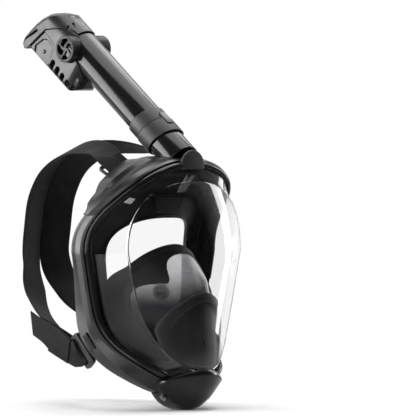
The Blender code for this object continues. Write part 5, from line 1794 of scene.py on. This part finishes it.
    def build(self) -> None:
        """Builds and dresses both sides of the harness."""
        f = self.finishes
        for side in Side:
            word, clip_at = side.word, clip_frame(self.lines, side)
            band = solid(self.ribbon(*self.band_path(side)), f"head_band_{word}")
            show(band, f.elastic, "mask", Slot.ELASTIC, [f"head_strap_{word}"], sharp=60)
            path, normals, widths = self.tail_path(side)
            tail = solid(self.squared(self.ribbon(path, normals, widths), path), f"band_tail_{word}")
            show(tail, f.tail, "mask", Slot.ELASTIC, [f"strap_tail_{word}"], sharp=60)
            path, normals, widths = path[5:16], normals[5:16], widths[5:16]
            raised = [p + n.normalized() * 0.0013 for p, n in zip(path, normals)]
            fold = solid(self.ribbon(raised, normals, widths), f"tail_fold_{word}")
            show(fold, f.tail, "mask", Slot.ELASTIC, sharp=60)
            show(solid(self.fairing(side), f"brow_fairing_{word}"), f.satin, "mask", Slot.MATT)
            loop = self.plate(f"band_loop_{word}", (0.0178, 0.0075), 0.0035, (0.0155, 0.004))
            loop.data.transform(self.loop_frame(side))
            show(loop, f.matt, "mask", Slot.MATT, [f"upper_loop_{word}"])
            thick, slot = self.clip_thick, self.clip_slot
            middle = Matrix.Translation((0, -thick * 0.3, self.clip_depth / 2 + self.clip_gap))
            clip = self.plate(f"band_clip_{word}", (0.019, 0.0085), thick, slot, -0.0019)
            clip.data.transform(clip_at @ middle @ Matrix.Rotation(-math.pi / 2, 4, "X"))
            show(clip, f.satin, "mask", Slot.MATT, [f"lower_clip_{word}"])
            button = soft_box((-0.0096, -0.0025, -0.0121), (0.0096, -0.0002, -0.0044), 0.0007, clip_at)
            pad = solid(button, f"clip_pad_{word}")
            show(pad, f.gloss, f"button_{word}", Slot.MATT, [f"clip_button_{word}"])


@dataclass
class KeptFixings:
    """Small CAD nodes that stay as they are and get a finish."""

    finishes: Finishes

    def dress(self) -> None:
        """Gives each kept node its finish."""
        f = self.finishes
        chosen = [("purge_seat", f.satin), ("purge_grille", f.satin)]
        for side in Side:
            chosen += [(f"chin_screw_{side.word}", f.steel), (f"inhale_seat_{side.word}", f.soft_clear)]
        for name, finish in chosen:
            node = FRAME["nodes"][name]
            node.data.materials.clear()
            node.data.materials.append(finish)
            LOG.info("%s kept, dressed in %s", name, finish.name)


@dataclass
class Studio:
    """Camera, pale floor, white surroundings and soft lamps."""

    turn: float = 43.0
    rise: float = 0.8
    distance: float = 20.0
    view_width: float = 0.43264
    shift: Pair = (0.0577, 0.0593)
    sensor: float = 36.0
    floor_z: float = -0.1495
    floor_radius: float = 0.62
    slope: float = 2.6

    def camera(self) -> None:
        """Sets the camera at the photograph's angle and framing."""
        a, e = math.radians(self.turn), math.radians(self.rise)
        right = Vector((math.cos(a), -math.sin(a), 0))
        back = Vector((-math.sin(a) * math.cos(e), -math.cos(a) * math.cos(e), math.sin(e)))
        up = back.cross(right)
        data = bpy.data.cameras.new("camera")
        data.sensor_width, data.lens = self.sensor, self.sensor * self.distance / self.view_width
        data.clip_end = 100.0
        obj = bpy.data.objects.new("camera", data)
        bpy.context.scene.collection.objects.link(obj)
        place = right * self.shift[0] + up * self.shift[1] + back * self.distance
        obj.matrix_world = basis(place, right, up, back)
        bpy.context.scene.camera = obj

    @staticmethod
    def lamp(name: str, place: Triple, size: Pair, power: float, height: float) -> None:
        """Adds one soft box.

        Args:
            name: Its name.
            place: Where it stands.
            size: Its width and height.
            power: Its power in watts.
            height: Height of the point over the middle that it looks at.
        """
        data = bpy.data.lights.new(name, "AREA")
        data.shape, data.size, data.size_y, data.energy = "RECTANGLE", size[0], size[1], power
        obj = bpy.data.objects.new(name, data)
        bpy.context.scene.collection.objects.link(obj)
        away = Vector(place) - Vector((0, 0, height))
        obj.matrix_world = Matrix.Translation(place) @ away.to_track_quat("Z", "Y").to_matrix().to_4x4()
        obj.visible_camera = False
        obj.visible_transmission = False

    @staticmethod
    def sight(g: Graph) -> tuple[bpy.types.NodeSocket, bpy.types.NodeSocket, bpy.types.NodeSocket]:
        """How a surface of the stage is looked at.

        Args:
            g: The tree that asks.

        Returns:
            1 where it is seen directly or only through glass, 1 where it is seen in a reflection, and
            0 where scattered light has passed through glass, which its own shadow rays count already.
        """
        path = g.add("LightPath").outputs
        scattered = g.math("MINIMUM", path["Diffuse Depth"], 1.0)
        mirrored = g.math("MINIMUM", path["Glossy Depth"], 1.0)
        straight = g.math("SUBTRACT", 1.0, g.math("MAXIMUM", scattered, mirrored))
        through = g.math("MULTIPLY", path["Is Transmission Ray"], straight)
        seen = g.math("MAXIMUM", path["Is Camera Ray"], through)
        spread = g.math("SUBTRACT", 1.0, g.math("MULTIPLY", path["Is Transmission Ray"], scattered))
        return seen, mirrored, spread

    def world(self) -> None:
        """White surroundings where seen directly or through glass, dimmer for gloss and diffuse light."""
        world = bpy.data.worlds.new("studio")
        bpy.context.scene.world = world
        world.use_nodes = True
        g = Graph(world.node_tree)
        seen, mirrored, spread = self.sight(g)
        x, y, _ = g.coords("Generated")
        behind = g.math("ADD", g.math("MULTIPLY", x, 0.682), g.math("MULTIPLY", y, 0.731))
        gloss = g.remap(behind, (0.0, 0.95), (0.03, 1.0))
        room = g.add("Mix", {0: mirrored, 2: g.math("MULTIPLY", spread, 0.28), 3: gloss})
        level = g.add("Mix", {0: seen, 2: room.outputs[0], 3: 1.0})
        shade = g.add("Background", {"Color": (1, 1, 1, 1), "Strength": level.outputs[0]})
        g.add("OutputWorld", {"Surface": shade.outputs[0]})

    def floor(self) -> None:
        """A pale floor that keeps the shadow near the mask and fades to white away from it."""
        bm = bmesh.new()
        bmesh.ops.create_circle(bm, cap_ends=True, radius=self.floor_radius, segments=96)
        a = math.radians(self.turn)
        tilt = Matrix.Rotation(math.radians(self.slope), 4, (math.cos(a), -math.sin(a), 0))
        place = Matrix.Translation((0, -0.055, self.floor_z))
        bmesh.ops.transform(bm, matrix=place @ tilt, verts=bm.verts)
        obj = solid(bm, "floor")
        made, g = new_material("pale_floor")
        place = g.add("TexCoord").outputs["Object"]
        away = g.add("VectorMath", {0: place, 1: (0.0, 0.03, self.floor_z)}, operation="DISTANCE")
        far = away.outputs["Value"]
        fade = g.remap(far, (0.12, 0.55), interpolation_type="SMOOTHSTEP")
        seen, mirrored, _ = self.sight(g)
        grain = g.add("TexNoise", {"Vector": place, "Scale": 30.0, "Detail": 3.0})
        tone = g.remap(grain.outputs[0], (0.0, 1.0), (0.93, 0.95))
        loss = g.math("MULTIPLY", mirrored, g.remap(far, (0.12, 0.40), (0.2, 0.92)))
        dimmed = g.math("MULTIPLY", tone, g.math("SUBTRACT", 1.0, loss))
        diffuse = g.add("BsdfDiffuse", {"Color": dimmed})
        white = g.add("Emission", {"Color": (1, 1, 1, 1), "Strength": 1.0})
        x, y, _ = g.coords("Object")
        beyond = g.remap(g.math("ADD", g.math("MULTIPLY", x, 0.1), y), (0.0, 0.35))
        shown = g.math("MAXIMUM", seen, g.math("MULTIPLY", mirrored, beyond))
        share = g.math("MULTIPLY", fade, shown)
        mixed = g.add("MixShader", {0: share, 1: diffuse.outputs[0], 2: white.outputs[0]})
        g.add("OutputMaterial", {"Surface": mixed.outputs[0]})
        obj.data.materials.append(made)

    def build(self) -> None:
        """Sets the camera, floor, world and lamps, and the plain view transform."""
        self.camera()
        self.floor()
        self.world()
        for name, place, size, power, height in (
            ("left_box", (-1.57, -0.14, 0.38), (0.40, 1.3), 8.0, 0.05),
            ("rear_left_box", (-1.13, 1.23, 0.25), (0.90, 1.2), 27.0, 0.0),
            ("right_box", (1.55, -0.25, 0.35), (0.45, 1.3), 10.0, 0.05),
            ("top_box", (0.1, 0.1, 1.6), (1.6, 1.2), 22.0, 0.05),
            ("upper_right_box", (1.06, 0.38, 1.40), (0.40, 0.9), 5.0, 0.05),
        ):
            self.lamp(name, place, size, power, height)
        bpy.context.scene.view_settings.view_transform = "Standard"


def main() -> None:
    """Builds the studio, then each sub-assembly in order."""
    logging.basicConfig(level=logging.INFO, format="%(name)s %(message)s")
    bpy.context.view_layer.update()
    Studio().build()
    finishes, lines = Finishes(), MaskLines()
    lens, frame_unit = LensUnit(lines, finishes), FrameUnit(lines, finishes)
    lens.build()
    frame_unit.build()
    SkirtUnit(lines, finishes).build()
    PocketUnit(lines, finishes).build()
    ChinUnit(lines, finishes, frame_unit, lens).build()
    snorkel = SnorkelUnit(lines, finishes)
    snorkel.build()
    DryTop(snorkel, finishes).build()
    Harness(lines, finishes).build()
    KeptFixings(finishes).dress()


if __name__ == "__main__":
    main()
